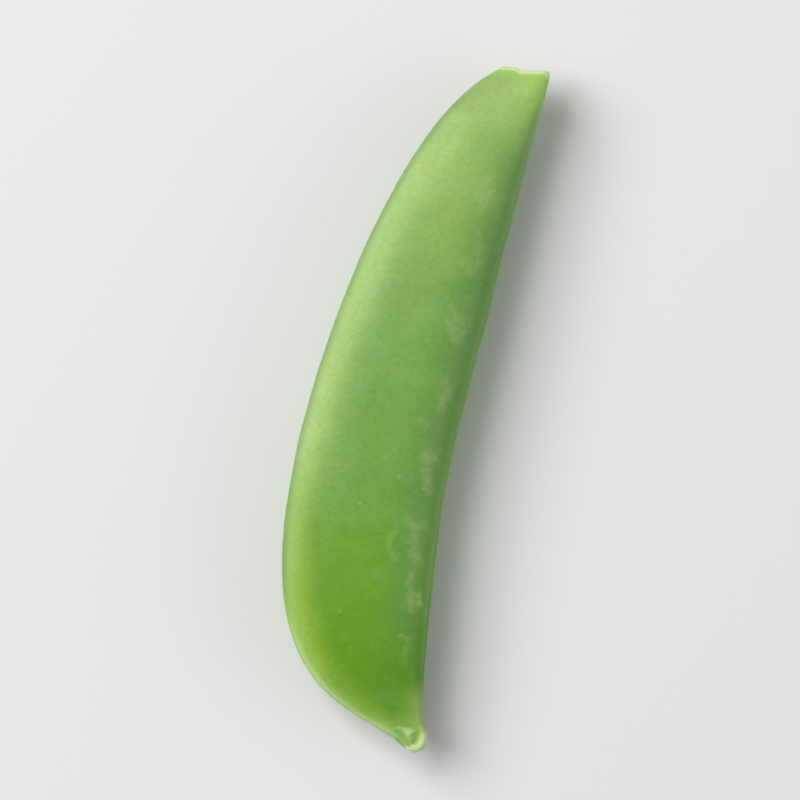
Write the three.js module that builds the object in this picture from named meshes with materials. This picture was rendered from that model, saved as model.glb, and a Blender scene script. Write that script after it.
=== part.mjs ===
// A topped sugar snap pea pod, lying on its flat side.
//
// Units are millimetres and +Z is up. The pod lies along X: its cut neck points to +X and its beak to -X.
// The bulging back edge faces +Y and the seam, which the peas hang from, faces -Y. The origin is the
// middle of the pod's box, at the height of the surface that the pod rests on.
//
// The pod grew as one piece, so it is one solid. Its skin is lofted over ribs. A rib is a pair of points,
// one on each edge of the pod, and an oval ring of skin stands on every rib. The rings run from the beak
// to the cut neck, turn over the cut flesh, and run back down the slit between the two halves of the pod.

import * as THREE from "three";

// Driving dimensions.
const LENGTH = 78.6; // from the cut face to the end of the beak
const THICKNESS = 10.6; // at the fattest rib, before the underside is pressed flat
const REST_FLAT = 0.35; // how far the underside is pressed flat where it rests
const REST_ROLL = -0.025; // radians that the middle leans as the pod rests: below 0 the seam is up
const TWIST = -0.12; // radians that the sections lean further from the neck to the beak
const NECK_TURN = -0.22; // radians that the neck leans on top of that
const NECK_TURN_REACH = 0.12; // how far the neck's lean reaches, as a share of LENGTH
const BOW = 0.7; // how far the ends lift above the middle

// The cross-section: an oval, fuller than an ellipse and blunter towards the seam.
const BACK_POWER = 2.2; // the oval's power at the back edge: 2 is an ellipse
const SEAM_POWER = 3.2; // and at the seam
const EGG = 0.1; // how much fatter the seam's half of the section is than the back's
const SEAM_RIDGE = 0.42; // height of the ridge along the seam
const BACK_RIDGE = 0.22; // height of the ridge along the back
const RIDGE_REACH = 0.75; // half width of both ridges
const THIN_HALF = 4.5; // half thickness below which the ridges fade with the pod

// The peas inside, which show as low swellings along the seam's side.
const PEAS = [0.198, 0.274, 0.329, 0.378, 0.437, 0.494, 0.558, 0.628]; // shares of the way from neck to beak
const PEA_FROM_SEAM = 0.23; // the peas' line, as a share of the rib from the seam
const PEA_SWELL = 0.26; // how far each pea pushes its side of the pod out
const PEA_REACH = 2.7; // how far the swelling spreads

// The slit in the cut neck: at each depth, how much of its full opening is left.
const SLIT_WALL = 0.85; // flesh left between the slit and the neck's edges
const SLIT_HALF_GAP = 0.5; // half the slit's opening between the two halves
const SLIT_STEPS = [
  { depth: 0, opening: 1 },
  { depth: 2.4, opening: 1 },
  { depth: 4.8, opening: 0.7 },
  { depth: 6, opening: 0.25 },
];

const STATIONS = 62; // rings of skin from the beak to the neck
const AROUND = 32; // points on a ring

// The ribs, from the cut neck to the beak. Each gives its back point, its seam point and the half
// thickness there. A point is the distance from the cut face and the height above the line from the
// cut's middle to the beak, both as shares of LENGTH. The half thickness is a share of THICKNESS.
const RIBS = [
  { back: [0, 0.037], seam: [0, -0.0378], half: 0.168 },
  { back: [0.045, 0.0785], seam: [0.05, -0.0342], half: 0.245 },
  { back: [0.1, 0.1145], seam: [0.107, -0.028], half: 0.332 },
  { back: [0.17, 0.1475], seam: [0.178, -0.0212], half: 0.402 },
  { back: [0.255, 0.1762], seam: [0.255, -0.015], half: 0.45 },
  { back: [0.36, 0.2028], seam: [0.347, -0.0074], half: 0.481 },
  { back: [0.484, 0.2243], seam: [0.464, 0.0035], half: 0.498 },
  { back: [0.604, 0.2361], seam: [0.579, 0.0115], half: 0.5 },
  { back: [0.715, 0.235], seam: [0.683, 0.0122], half: 0.488 },
  { back: [0.805, 0.22], seam: [0.767, 0.0083], half: 0.455 },
  { back: [0.875, 0.1916], seam: [0.83, 0.004], half: 0.403 },
  { back: [0.9235, 0.1517], seam: [0.88, 0.0005], half: 0.332 },
  { back: [0.9535, 0.1047], seam: [0.921, -0.0045], half: 0.246 },
  { back: [0.9715, 0.0624], seam: [0.95, -0.0105], half: 0.175 },
  { back: [0.985, 0.0296], seam: [0.9715, -0.0185], half: 0.126 },
  { back: [0.9945, 0.014], seam: [0.99, -0.0183], half: 0.094 },
  { back: [0.9985, 0.0078], seam: [1, -0.0062], half: 0.04 },
];

/** A rib's five numbers in millimetres: the back point, the seam point and the half thickness. */
function ribRow({ back, seam, half }) {
  return [
    -back[0] * LENGTH,
    back[1] * LENGTH,
    -seam[0] * LENGTH,
    seam[1] * LENGTH,
    half * THICKNESS,
  ];
}

/** The five numbers of rib i. Past either end the row of ribs is continued in a straight line. */
function rowOrBeyond(i) {
  const last = RIBS.length - 1;
  if (i >= 0 && i <= last) return ribRow(RIBS[i]);
  const [end, inner] = i < 0 ? [0, 1] : [last, last - 1];
  const [endRow, innerRow] = [ribRow(RIBS[end]), ribRow(RIBS[inner])];
  return endRow.map((value, k) => 2 * value - innerRow[k]);
}

/** A smooth curve's value at t between b and c, which have a before them and d after them. */
function blend(a, b, c, d, t) {
  const [slopeB, slopeC] = [(c - a) / 2, (d - b) / 2];
  const square = t * t;
  const cube = square * t;
  const bend = 3 * (c - b) - 2 * slopeB - slopeC;
  const turnBack = 2 * (b - c) + slopeB + slopeC;
  return b + slopeB * t + bend * square + turnBack * cube;
}

/** The rib at a share of the way from the neck (0) to the beak (1), in millimetres. */
function ribAt(share) {
  const place = share * (RIBS.length - 1);
  const first = Math.min(Math.floor(place), RIBS.length - 2);
  const [a, b, c, d] = [-1, 0, 1, 2].map((step) => rowOrBeyond(first + step));
  const row = b.map((_, k) => blend(a[k], b[k], c[k], d[k], place - first));
  return {
    back: new THREE.Vector2(row[0], row[1]),
    seam: new THREE.Vector2(row[2], row[3]),
    half: row[4],
  };
}

/** Where each pea lies: the middle of its swelling, seen from above. */
const peaPlaces = PEAS.map((share) => {
  const { back, seam } = ribAt(share);
  return seam.clone().lerp(back, PEA_FROM_SEAM);
});

/** How far the peas push the side of the pod out at a point seen from above. */
function peaSwelling(point) {
  const spread = 2 * PEA_REACH * PEA_REACH;
  const shares = peaPlaces.map((pea) => Math.exp(-point.distanceToSquared(pea) / spread));
  return PEA_SWELL * shares.reduce((sum, share) => sum + share, 0);
}

/** A point of the oval section, as shares of its half width and of its half thickness. */
function ovalPoint(angle) {
  const [cos, sin] = [Math.cos(angle), Math.sin(angle)];
  const power = THREE.MathUtils.lerp(SEAM_POWER, BACK_POWER, (1 + cos) / 2);
  const reach = (Math.abs(cos) ** power + Math.abs(sin) ** power) ** (-1 / power);
  return { across: reach * cos, up: reach * sin * (1 - EGG * reach * cos) };
}

/** The share of an edge's ridge that stands at a distance from the edge. */
function ridgeShare(distance) {
  return Math.exp(-((distance / RIDGE_REACH) ** 2));
}

/** One ring of skin: an oval on a rib, with a ridge along each edge and the peas' swelling on both sides. */
function skinRing(share) {
  const { back, seam, half } = ribAt(share);
  const middle = back.clone().add(seam).multiplyScalar(0.5);
  const reach = back.clone().sub(seam).multiplyScalar(0.5);
  const halfWidth = reach.length();
  const neckTurn = NECK_TURN * Math.exp(-((share / NECK_TURN_REACH) ** 2));
  const turn = REST_ROLL + TWIST * (share - 0.5) + neckTurn;
  const lift = THICKNESS / 2 + BOW * (2 * share - 1) ** 2;
  const fade = Math.min(1, half / THIN_HALF) ** 2;
  return Array.from({ length: AROUND }, (_, i) => {
    const angle = (2 * Math.PI * i) / AROUND;
    const { across, up } = ovalPoint(angle);
    const toBack = Math.min(angle, 2 * Math.PI - angle);
    const [ridge, toEdge] = across > 0 ? [BACK_RIDGE, toBack] : [SEAM_RIDGE, Math.PI - toBack];
    const inset = fade * ridge * (1 - ridgeShare(half * toEdge));
    const out = across * (1 - inset / halfWidth);
    const point = middle.clone().addScaledVector(reach, out);
    const tall = up * (half + peaSwelling(point) * Math.abs(up));
    const height = lift + tall * Math.cos(turn) + out * halfWidth * Math.sin(turn);
    return new THREE.Vector3(point.x, point.y, height);
  });
}

/** One ring of the slit's wall, at a depth below the cut face and at a share of its full opening. */
function slitRing(rim, { depth, opening }) {
  const middle = average(rim);
  const [back, seam] = [rim[0], rim[AROUND / 2]];
  const halfWidth = back.distanceTo(seam) / 2 - SLIT_WALL;
  const across = back.clone().sub(seam).normalize();
  return rim.map((_, i) => {
    const angle = (2 * Math.PI * i) / AROUND;
    const point = middle.clone().addScaledVector(across, (halfWidth * Math.cos(angle) * (1 + opening)) / 2);
    point.x -= depth;
    point.z += SLIT_HALF_GAP * Math.sin(angle) * opening;
    return point;
  });
}

/** The average of a ring's points. */
function average(ring) {
  return ring.reduce((sum, point) => sum.add(point), new THREE.Vector3()).divideScalar(ring.length);
}

/** A closed surface through a row of rings, with a point at each end. */
function closedLoft(rings) {
  const points = [average(rings[0]), ...rings.flat(), average(rings.at(-1))];
  const last = points.length - 1;
  const at = (ring, i) => 1 + ring * AROUND + (i % AROUND);
  const faces = [];
  for (let i = 0; i < AROUND; i++) {
    faces.push(0, at(0, i + 1), at(0, i));
    faces.push(last, at(rings.length - 1, i), at(rings.length - 1, i + 1));
    for (let ring = 0; ring < rings.length - 1; ring++) {
      faces.push(at(ring, i), at(ring, i + 1), at(ring + 1, i + 1));
      faces.push(at(ring, i), at(ring + 1, i + 1), at(ring + 1, i));
    }
  }
  const geometry = new THREE.BufferGeometry().setFromPoints(points);
  geometry.setIndex(faces);
  return geometry;
}

/** Presses the lowest part of the underside flat, as the pod's own weight does where it rests. */
function pressFlat(geometry) {
  const position = geometry.getAttribute("position");
  geometry.computeBoundingBox();
  const floor = geometry.boundingBox.min.z + REST_FLAT;
  for (let i = 0; i < position.count; i++) position.setZ(i, Math.max(position.getZ(i), floor));
}

/** The whole pod, centred on the origin and resting at z = 0. */
function podGeometry() {
  const skin = Array.from({ length: STATIONS }, (_, i) => skinRing(1 - i / (STATIONS - 1)));
  const rim = skin.at(-1);
  const slit = SLIT_STEPS.map((step) => slitRing(rim, step));
  const geometry = closedLoft([...skin, ...slit]);
  pressFlat(geometry);
  geometry.computeBoundingBox();
  const { min, max } = geometry.boundingBox;
  geometry.translate(-(min.x + max.x) / 2, -(min.y + max.y) / 2, -min.z);
  return geometry;
}

const skin = new THREE.MeshStandardMaterial({ color: 0x84ac4f, roughness: 0.42, metalness: 0 });
const pod = new THREE.Mesh(podGeometry(), skin);
pod.name = "pea_pod";

const group = new THREE.Group();
group.add(pod);

export default group;
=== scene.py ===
"""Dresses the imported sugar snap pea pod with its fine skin, its cut neck, its beak and a plain studio.

Lengths are metres and +Z is up. The pod lies along X: its cut neck points to +X and its beak to -X. The
bulging back edge faces +Y, and the seam, which the peas hang from, faces -Y.

The pod grew as one piece, so it is one mesh. Its skin is lofted over the same ribs as the solid that it
replaces, on a much finer grid, and each class below adds one feature of a real pod to that grid: the
ridges along its edges, the row of peas, the patch it rests on, the broken style on its beak, and the
cut neck with the slit between the two halves.
"""

import logging
import math
from dataclasses import dataclass, field, replace
from enum import Enum
from functools import reduce

import bpy
import numpy as np
from mathutils import Matrix, Vector, noise


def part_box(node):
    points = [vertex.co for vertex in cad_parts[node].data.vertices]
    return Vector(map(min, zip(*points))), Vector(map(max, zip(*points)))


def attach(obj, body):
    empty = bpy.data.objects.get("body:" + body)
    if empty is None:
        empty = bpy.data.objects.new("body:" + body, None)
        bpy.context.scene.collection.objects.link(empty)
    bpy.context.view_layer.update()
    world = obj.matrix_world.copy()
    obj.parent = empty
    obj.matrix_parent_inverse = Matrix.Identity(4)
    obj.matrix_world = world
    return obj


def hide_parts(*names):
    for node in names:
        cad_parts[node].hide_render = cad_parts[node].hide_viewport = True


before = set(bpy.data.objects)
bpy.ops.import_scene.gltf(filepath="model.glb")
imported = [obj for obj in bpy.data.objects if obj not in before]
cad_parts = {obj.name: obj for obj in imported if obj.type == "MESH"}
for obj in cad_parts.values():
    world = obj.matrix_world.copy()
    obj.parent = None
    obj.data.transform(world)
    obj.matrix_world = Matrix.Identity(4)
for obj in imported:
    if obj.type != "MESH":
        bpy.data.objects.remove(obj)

log = logging.getLogger("pea_pod")

NODE = "pea_pod"
BODY = "root"
MM = 0.001
TINY = 1e-12
LEVEL = 40  # how many softnesses away from its middle a soft step counts as level


class Edge(Enum):
    """The pod's two long edges."""

    BACK = "back"
    SEAM = "seam"


class Tissue(Enum):
    """What a face of the pod shows, as the place of its material on the mesh."""

    SKIN = 0
    FLESH = 1


class Field(Enum):
    """Numbers kept at each point of the mesh, which the finishes read."""

    ALONG = "along"  # 0 at the cut neck, 1 at the beak
    TO_BACK = "to_back"  # distance over the skin to the back edge
    TO_SEAM = "to_seam"  # distance over the skin to the seam
    TO_CUT = "to_cut"  # distance to the cut face
    SCUFF = "scuff"  # how hard the wax has been rubbed
    # HOLLOW also places the skin finish's painted shade between the peas.
    HOLLOW = "hollow"  # the skin between two peas
    NICK = "nick"  # small healed nicks
    # HEM also places a painted highlight along the back's edge near the beak.
    HEM = "hem"  # the pale edges that run into the beak
    CREAM = "cream"  # the cream knob at the end of the seam
    DRY = "dry"  # the dry crack in the beak
    LIP = "lip"  # the pale collar round the beak
    DEPTH = "depth"  # 0 on the cut face, 1 at the bottom of the slit


@dataclass(frozen=True)
class Colour:
    """A colour, as written in a paint list: 0 to 255 for red, green and blue."""

    red: float
    green: float
    blue: float

    def linear(self) -> tuple[float, float, float, float]:
        """The colour as the shaders take it."""
        return tuple(self._channel(v) for v in (self.red, self.green, self.blue)) + (1.0,)

    @staticmethod
    def _channel(value: float) -> float:
        """One channel, from its written value to its share of the light."""
        share = value / 255
        return share / 12.92 if share <= 0.04045 else ((share + 0.055) / 1.055) ** 2.4


@dataclass(frozen=True)
class Tint:
    """How much a thin layer lets through of the red, green and blue under it."""

    red: float
    green: float
    blue: float


# ---------------------------------------------------------------------------------------------------
# Shape
# ---------------------------------------------------------------------------------------------------


def hill(distance: np.ndarray, reach: float) -> np.ndarray:
    """A soft bell: 1 at no distance, and nearly 0 past twice the reach."""
    return np.exp(-((distance / reach) ** 2))


def step(value: np.ndarray, softness: float) -> np.ndarray:
    """A soft step from 0 below zero to 1 above it."""
    return 1 / (1 + np.exp(-np.clip(value / softness, -LEVEL, LEVEL)))


def rise(value: np.ndarray, start: float, end: float) -> np.ndarray:
    """A straight slope from 0 at the start to 1 at the end, and level outside them."""
    return np.clip((value - start) / (end - start), 0, 1)


@dataclass(frozen=True)
class Rib:
    """A pair of points, one on each edge of the pod, with the half thickness there.

    A point is its distance from the cut face and its height above the line from the cut's middle to
    the beak, both as shares of the pod's length. The half thickness is a share of the pod's thickness.
    """

    back: tuple[float, float]
    seam: tuple[float, float]
    half: float


@dataclass(frozen=True)
class Plan:
    """The pod's outline seen from above, and how thick it is along the way."""

    length: float
    thickness: float = 10.6 * MM
    body_step: float = 0.3 * MM
    neck_step: float = 0.1 * MM
    beak_step: float = 0.08 * MM
    neck_reach: float = 1.2 * MM
    beak_reach: float = 4.5 * MM
    fineness: int = 4000
    ribs: tuple[Rib, ...] = (
        Rib((0, 0.037), (0, -0.0378), 0.168),
        Rib((0.045, 0.0785), (0.05, -0.0342), 0.245),
        Rib((0.1, 0.1145), (0.107, -0.028), 0.332),
        Rib((0.17, 0.1475), (0.178, -0.0212), 0.402),
        Rib((0.255, 0.1762), (0.255, -0.015), 0.45),
        Rib((0.36, 0.2028), (0.347, -0.0074), 0.481),
        Rib((0.484, 0.2243), (0.464, 0.0035), 0.498),
        Rib((0.604, 0.2361), (0.579, 0.0115), 0.5),
        Rib((0.715, 0.235), (0.683, 0.0122), 0.488),
        Rib((0.805, 0.22), (0.767, 0.0083), 0.455),
        Rib((0.875, 0.1916), (0.83, 0.004), 0.403),
        Rib((0.9235, 0.1517), (0.88, 0.0005), 0.332),
        Rib((0.9535, 0.1047), (0.921, -0.0045), 0.246),
        Rib((0.9715, 0.0624), (0.95, -0.0105), 0.175),
        Rib((0.985, 0.0296), (0.9715, -0.0185), 0.126),
        Rib((0.9945, 0.014), (0.99, -0.0183), 0.094),
        Rib((0.9985, 0.0078), (1, -0.0062), 0.04),
    )

    def rows(self, shares: np.ndarray) -> np.ndarray:
        """The smooth curves through the ribs.

        Args:
            shares: places on the way from the neck (0) to the beak (1).

        Returns:
            For each place: back x, back y, seam x, seam y and half thickness, in metres.
        """
        table = np.array([[*rib.back, *rib.seam, rib.half] for rib in self.ribs])
        table *= np.array([-self.length, self.length, -self.length, self.length, self.thickness])
        table = np.vstack([2 * table[0] - table[1], table, 2 * table[-1] - table[-2]])
        place = np.clip(shares, 0, 1) * (len(self.ribs) - 1)
        first = np.minimum(place.astype(int), len(self.ribs) - 2)
        t = (place - first)[:, None]
        a, b, c, d = (table[first + k] for k in range(4))
        slope_b, slope_c = (c - a) / 2, (d - b) / 2
        bend = 3 * (c - b) - 2 * slope_b - slope_c
        turn_back = 2 * (b - c) + slope_b + slope_c
        return b + slope_b * t + bend * t**2 + turn_back * t**3

    def stations(self) -> np.ndarray:
        """Places for the rings of skin, from the beak to the neck, closer together near both ends.

        Returns:
            The places as shares of the way from the neck (0) to the beak (1), the beak's first.
        """
        shares = np.linspace(0, 1, self.fineness)
        rows = self.rows(shares)
        back_step = np.hypot(*np.diff(rows[:, 0:2], axis=0).T)
        seam_step = np.hypot(*np.diff(rows[:, 2:4], axis=0).T)
        travel = np.concatenate([[0], np.cumsum(np.maximum(back_step, seam_step))])
        near_neck = hill(travel, self.neck_reach)
        near_beak = hill(travel[-1] - travel, self.beak_reach)
        spacing = self.body_step + (self.neck_step - self.body_step) * near_neck
        spacing += (self.beak_step - spacing) * near_beak
        count = np.concatenate([[0], np.cumsum(np.diff(travel) / spacing[1:])])
        rings = int(math.ceil(count[-1])) + 1
        return np.interp(np.linspace(count[-1], 0, rings), count, shares)


@dataclass(frozen=True)
class Ridge:
    """A raised strip along one edge of the pod, with a fine groove down its middle."""

    edge: Edge
    height: float
    reach: float
    groove_depth: float
    groove_reach: float
    samples: int = 200

    def height_at(self, distance: np.ndarray) -> np.ndarray:
        """How high the ridge stands, at distances over the skin from the edge."""
        crown = self.height * hill(distance, self.reach)
        return crown - self.groove_depth * hill(distance, self.groove_reach)

    def crown(self) -> float:
        """The ridge's greatest height."""
        return self.height_at(np.linspace(0, self.reach, self.samples)).max()


@dataclass(frozen=True)
class Section:
    """The pod's cross-section: an oval, fuller than an ellipse and blunter towards the seam."""

    around: int = 192
    crowding: float = 0.35
    back_power: float = 2.2
    seam_power: float = 3.2
    beak_power: float = 4.6
    beak_start: float = 0.95
    egg: float = 0.1

    def ovals(self, shares: np.ndarray) -> tuple[np.ndarray, np.ndarray]:
        """The oval at each place on the way from the neck (0) to the beak (1).

        Its points run from the back edge over the top, and are crowded together at both edges.

        Args:
            shares: the places.

        Returns:
            Each point's place across its rib, from -1 to 1, and its height as a share of the half.
        """
        turn = np.arange(self.around) / self.around
        angles = 2 * np.pi * turn - self.crowding * np.sin(4 * np.pi * turn)
        cos, sin = np.cos(angles)[None, :], np.sin(angles)[None, :]
        blunt = rise(shares, self.beak_start, 1)[:, None]
        seam_power = self.seam_power + (self.beak_power - self.seam_power) * blunt
        power = seam_power + (self.back_power - seam_power) * (1 + cos) / 2
        reach = (np.abs(cos) ** power + np.abs(sin) ** power) ** (-1 / power)
        return reach * cos, reach * sin * (1 - self.egg * reach * cos)


@dataclass(frozen=True)
class Trace:
    """A line drawn over the pod, as points in millimetres: distance from the cut, height over the chord."""

    points: tuple[tuple[float, float], ...]

    def measure(self, s: np.ndarray, y: np.ndarray) -> tuple[np.ndarray, np.ndarray]:
        """Where points lie against the line.

        Args:
            s: distances from the cut, in metres.
            y: heights over the chord, in metres.

        Returns:
            For each point, its distance from the line in millimetres, and how far along the line it
            lies, from 0 to 1.
        """
        here = np.stack([s, y], axis=-1) / MM
        best = np.full(s.shape, np.inf)
        place = np.zeros(s.shape)
        knots = np.array(self.points, dtype=float)
        legs = np.diff(knots, axis=0)
        lengths = np.linalg.norm(legs, axis=1)
        travelled = np.concatenate([[0], np.cumsum(lengths)])
        for knot, leg, length, before in zip(knots, legs, lengths, travelled):
            offset = here - knot
            share = np.clip(offset @ leg / length**2, 0, 1)
            distance = np.linalg.norm(offset - share[..., None] * leg, axis=-1)
            nearer = distance < best
            place = np.where(nearer, (before + share * length) / travelled[-1], place)
            best = np.minimum(best, distance)
        return best, place


@dataclass(frozen=True)
class Stroke:
    """One stroke over the pod, such as a rub mark or a raised line.

    It has the line it follows, its half width in millimetres, and its strength, which is a share for a
    mark and a height in metres for a form. It grows from nothing between two places on the line, and
    is as strong all along the line where none are given.
    """

    trace: Trace
    width: float
    strength: float
    growth: tuple[float, float] = (-1, 0)

    def at(self, s: np.ndarray, y: np.ndarray) -> np.ndarray:
        """How strong the stroke is at points seen from above."""
        distance, along = self.trace.measure(s, y)
        return self.strength * hill(distance, self.width) * rise(along, *self.growth)


@dataclass(frozen=True)
class PeaRow:
    """The peas inside, which show as low swellings along the seam's side."""

    peas: tuple[float, ...] = (0.198, 0.274, 0.329, 0.378, 0.437, 0.494, 0.558, 0.628)
    from_seam: float = 0.23
    swell: float = 0.27 * MM
    reach: float = 2.6 * MM
    hollow_along: float = 1.7 * MM
    hollow_across: float = 2.6 * MM

    def places(self, plan: Plan) -> np.ndarray:
        """Where each pea lies, seen from above."""
        rows = plan.rows(np.array(self.peas))
        return rows[:, 2:4] + (rows[:, 0:2] - rows[:, 2:4]) * self.from_seam

    def swelling(self, plan: Plan, x: np.ndarray, y: np.ndarray) -> np.ndarray:
        """How far the peas push the skin out at points seen from above.

        Args:
            plan: the pod's outline.
            x: the points' places towards the neck, in metres.
            y: heights over the chord, in metres.

        Returns:
            The heights, in metres.
        """
        total = np.zeros_like(x)
        for place_x, place_y in self.places(plan):
            gap = (x - place_x) ** 2 + (y - place_y) ** 2
            total += np.exp(-gap / (2 * self.reach**2))
        return self.swell * total

    def hollow(self, plan: Plan, x: np.ndarray, y: np.ndarray) -> np.ndarray:
        """How much a point lies between two peas of the row: 1 halfway between them.

        Args:
            plan: the pod's outline.
            x: the points' places towards the neck, in metres.
            y: heights over the chord, in metres.

        Returns:
            0 away from the row to about 1 halfway between two peas.
        """
        places = self.places(plan)
        halfway = (places[:-1] + places[1:]) / 2
        total = np.zeros_like(x)
        for place_x, place_y in halfway:
            along, across = (x - place_x) / self.hollow_along, (y - place_y) / self.hollow_across
            total += np.exp(-(along**2) - across**2)
        return total


@dataclass(frozen=True)
class Scuffs:
    """Rub marks where the peas' swellings have touched other pods, and a few healed nicks."""

    upper: tuple[Stroke, ...] = (
        Stroke(Trace(((13.2, 2.2), (14.6, 1.6), (15.8, 1.6))), 0.8, 0.7),
        Stroke(Trace(((13.9, 2.8), (15.2, 2.9), (16.5, 2.2))), 0.8, 0.65),
        Stroke(Trace(((18.3, 2.4), (20.1, 2.0))), 0.5, 0.5),
        Stroke(Trace(((20.8, 1.8), (21.8, 1.7))), 0.6, 0.5),
        Stroke(Trace(((23.0, 3.5), (22.7, 2.4), (22.6, 1.8))), 0.6, 0.7),
        Stroke(Trace(((22.8, 2.6), (23.9, 2.3))), 0.7, 0.7),
        Stroke(Trace(((28.2, 3.4), (29.2, 3.1))), 0.6, 0.5),
        Stroke(Trace(((29.7, 3.8), (30.5, 3.3), (31.3, 2.7))), 0.75, 0.85),
        Stroke(Trace(((29.0, 2.3), (30.2, 2.0), (31.0, 2.3))), 0.6, 0.65),
        Stroke(Trace(((36.5, 3.3), (37.5, 2.7), (38.2, 2.5))), 0.75, 0.75),
        Stroke(Trace(((37.6, 2.7), (38.9, 3.1), (39.5, 3.0))), 0.65, 0.75),
        Stroke(Trace(((41.1, 5.0), (41.5, 4.4))), 0.5, 0.6),
        Stroke(Trace(((45.0, 4.1), (45.1, 2.9))), 0.65, 0.85),
        Stroke(Trace(((45.3, 3.5), (46.8, 3.6), (47.9, 3.3), (48.8, 2.9))), 0.65, 0.85),
        Stroke(Trace(((52.9, 4.6), (53.3, 3.6), (52.9, 2.9))), 0.7, 0.85),
        Stroke(Trace(((53.3, 3.6), (54.8, 3.8), (56.0, 3.5), (57.2, 3.0))), 0.75, 0.75),
        Stroke(Trace(((58.5, 3.4), (60.2, 3.4), (61.6, 3.3))), 0.6, 0.6),
        Stroke(Trace(((60.8, 2.9), (61.8, 2.85), (62.6, 2.75))), 0.35, 1.0),
        Stroke(Trace(((61.0, 3.5), (62.4, 3.4))), 0.5, 0.7),
        Stroke(Trace(((65.6, 3.3), (65.9, 2.5))), 0.35, 0.9),
        Stroke(Trace(((66.3, 2.7), (67.4, 2.6), (68.4, 2.4))), 0.4, 0.5),
    )
    lower: tuple[Stroke, ...] = (
        Stroke(Trace(((18.0, 3.4), (19.5, 2.9), (21.0, 3.2))), 0.7, 0.8),
        Stroke(Trace(((26.3, 2.6), (27.4, 3.4))), 0.6, 0.6),
        Stroke(Trace(((33.0, 5.2), (34.2, 4.4), (35.6, 4.6))), 0.7, 0.75),
        Stroke(Trace(((42.5, 3.9), (44.1, 4.3), (45.3, 3.7))), 0.8, 0.9),
        Stroke(Trace(((50.8, 4.4), (51.6, 3.4))), 0.5, 0.7),
        Stroke(Trace(((56.4, 3.9), (58.0, 3.5), (59.1, 3.7))), 0.7, 0.85),
    )
    nicks: tuple[Stroke, ...] = (
        Stroke(Trace(((60.75, 2.1), (61.0, 2.0))), 0.32, 0.7),
        Stroke(Trace(((61.55, 1.95), (61.75, 1.85))), 0.32, 1.0),
        Stroke(Trace(((54.2, 6.0), (54.9, 6.4), (55.8, 6.4), (56.6, 6.0), (57.1, 5.4))), 0.3, 0.26),
        Stroke(Trace(((45.9, 8.4), (46.3, 8.2))), 0.28, 0.25),
    )

    def strength_at(self, s: np.ndarray, y: np.ndarray, top: np.ndarray) -> np.ndarray:
        """How hard the skin is rubbed.

        Args:
            s: distances from the cut, in metres.
            y: heights over the chord, in metres.
            top: true where the point is on the pod's upper side.

        Returns:
            0 for untouched wax to about 1 for the middle of a mark.
        """
        upper = np.max([stroke.at(s, y) for stroke in self.upper], axis=0)
        lower = np.max([stroke.at(s, y) for stroke in self.lower], axis=0)
        return np.where(top, upper, lower)

    def nicks_at(self, s: np.ndarray, y: np.ndarray, top: np.ndarray) -> np.ndarray:
        """How much the skin is a healed nick, which only the upper side has."""
        return np.where(top, np.max([nick.at(s, y) for nick in self.nicks], axis=0), 0)


@dataclass(frozen=True)
class RestPatch:
    """The patch of the underside that the pod's own weight presses flat."""

    depth: float = 0.35 * MM
    softness: float = 0.05 * MM

    def press(self, z: np.ndarray) -> np.ndarray:
        """The heights with the lowest part pressed flat, and the flat at zero.

        Args:
            z: the heights, in metres.

        Returns:
            The new heights, in metres.
        """
        above = (z - z.min() - self.depth) / self.softness
        pressed = self.softness * np.logaddexp(0, above)
        return pressed - pressed.min()


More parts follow.
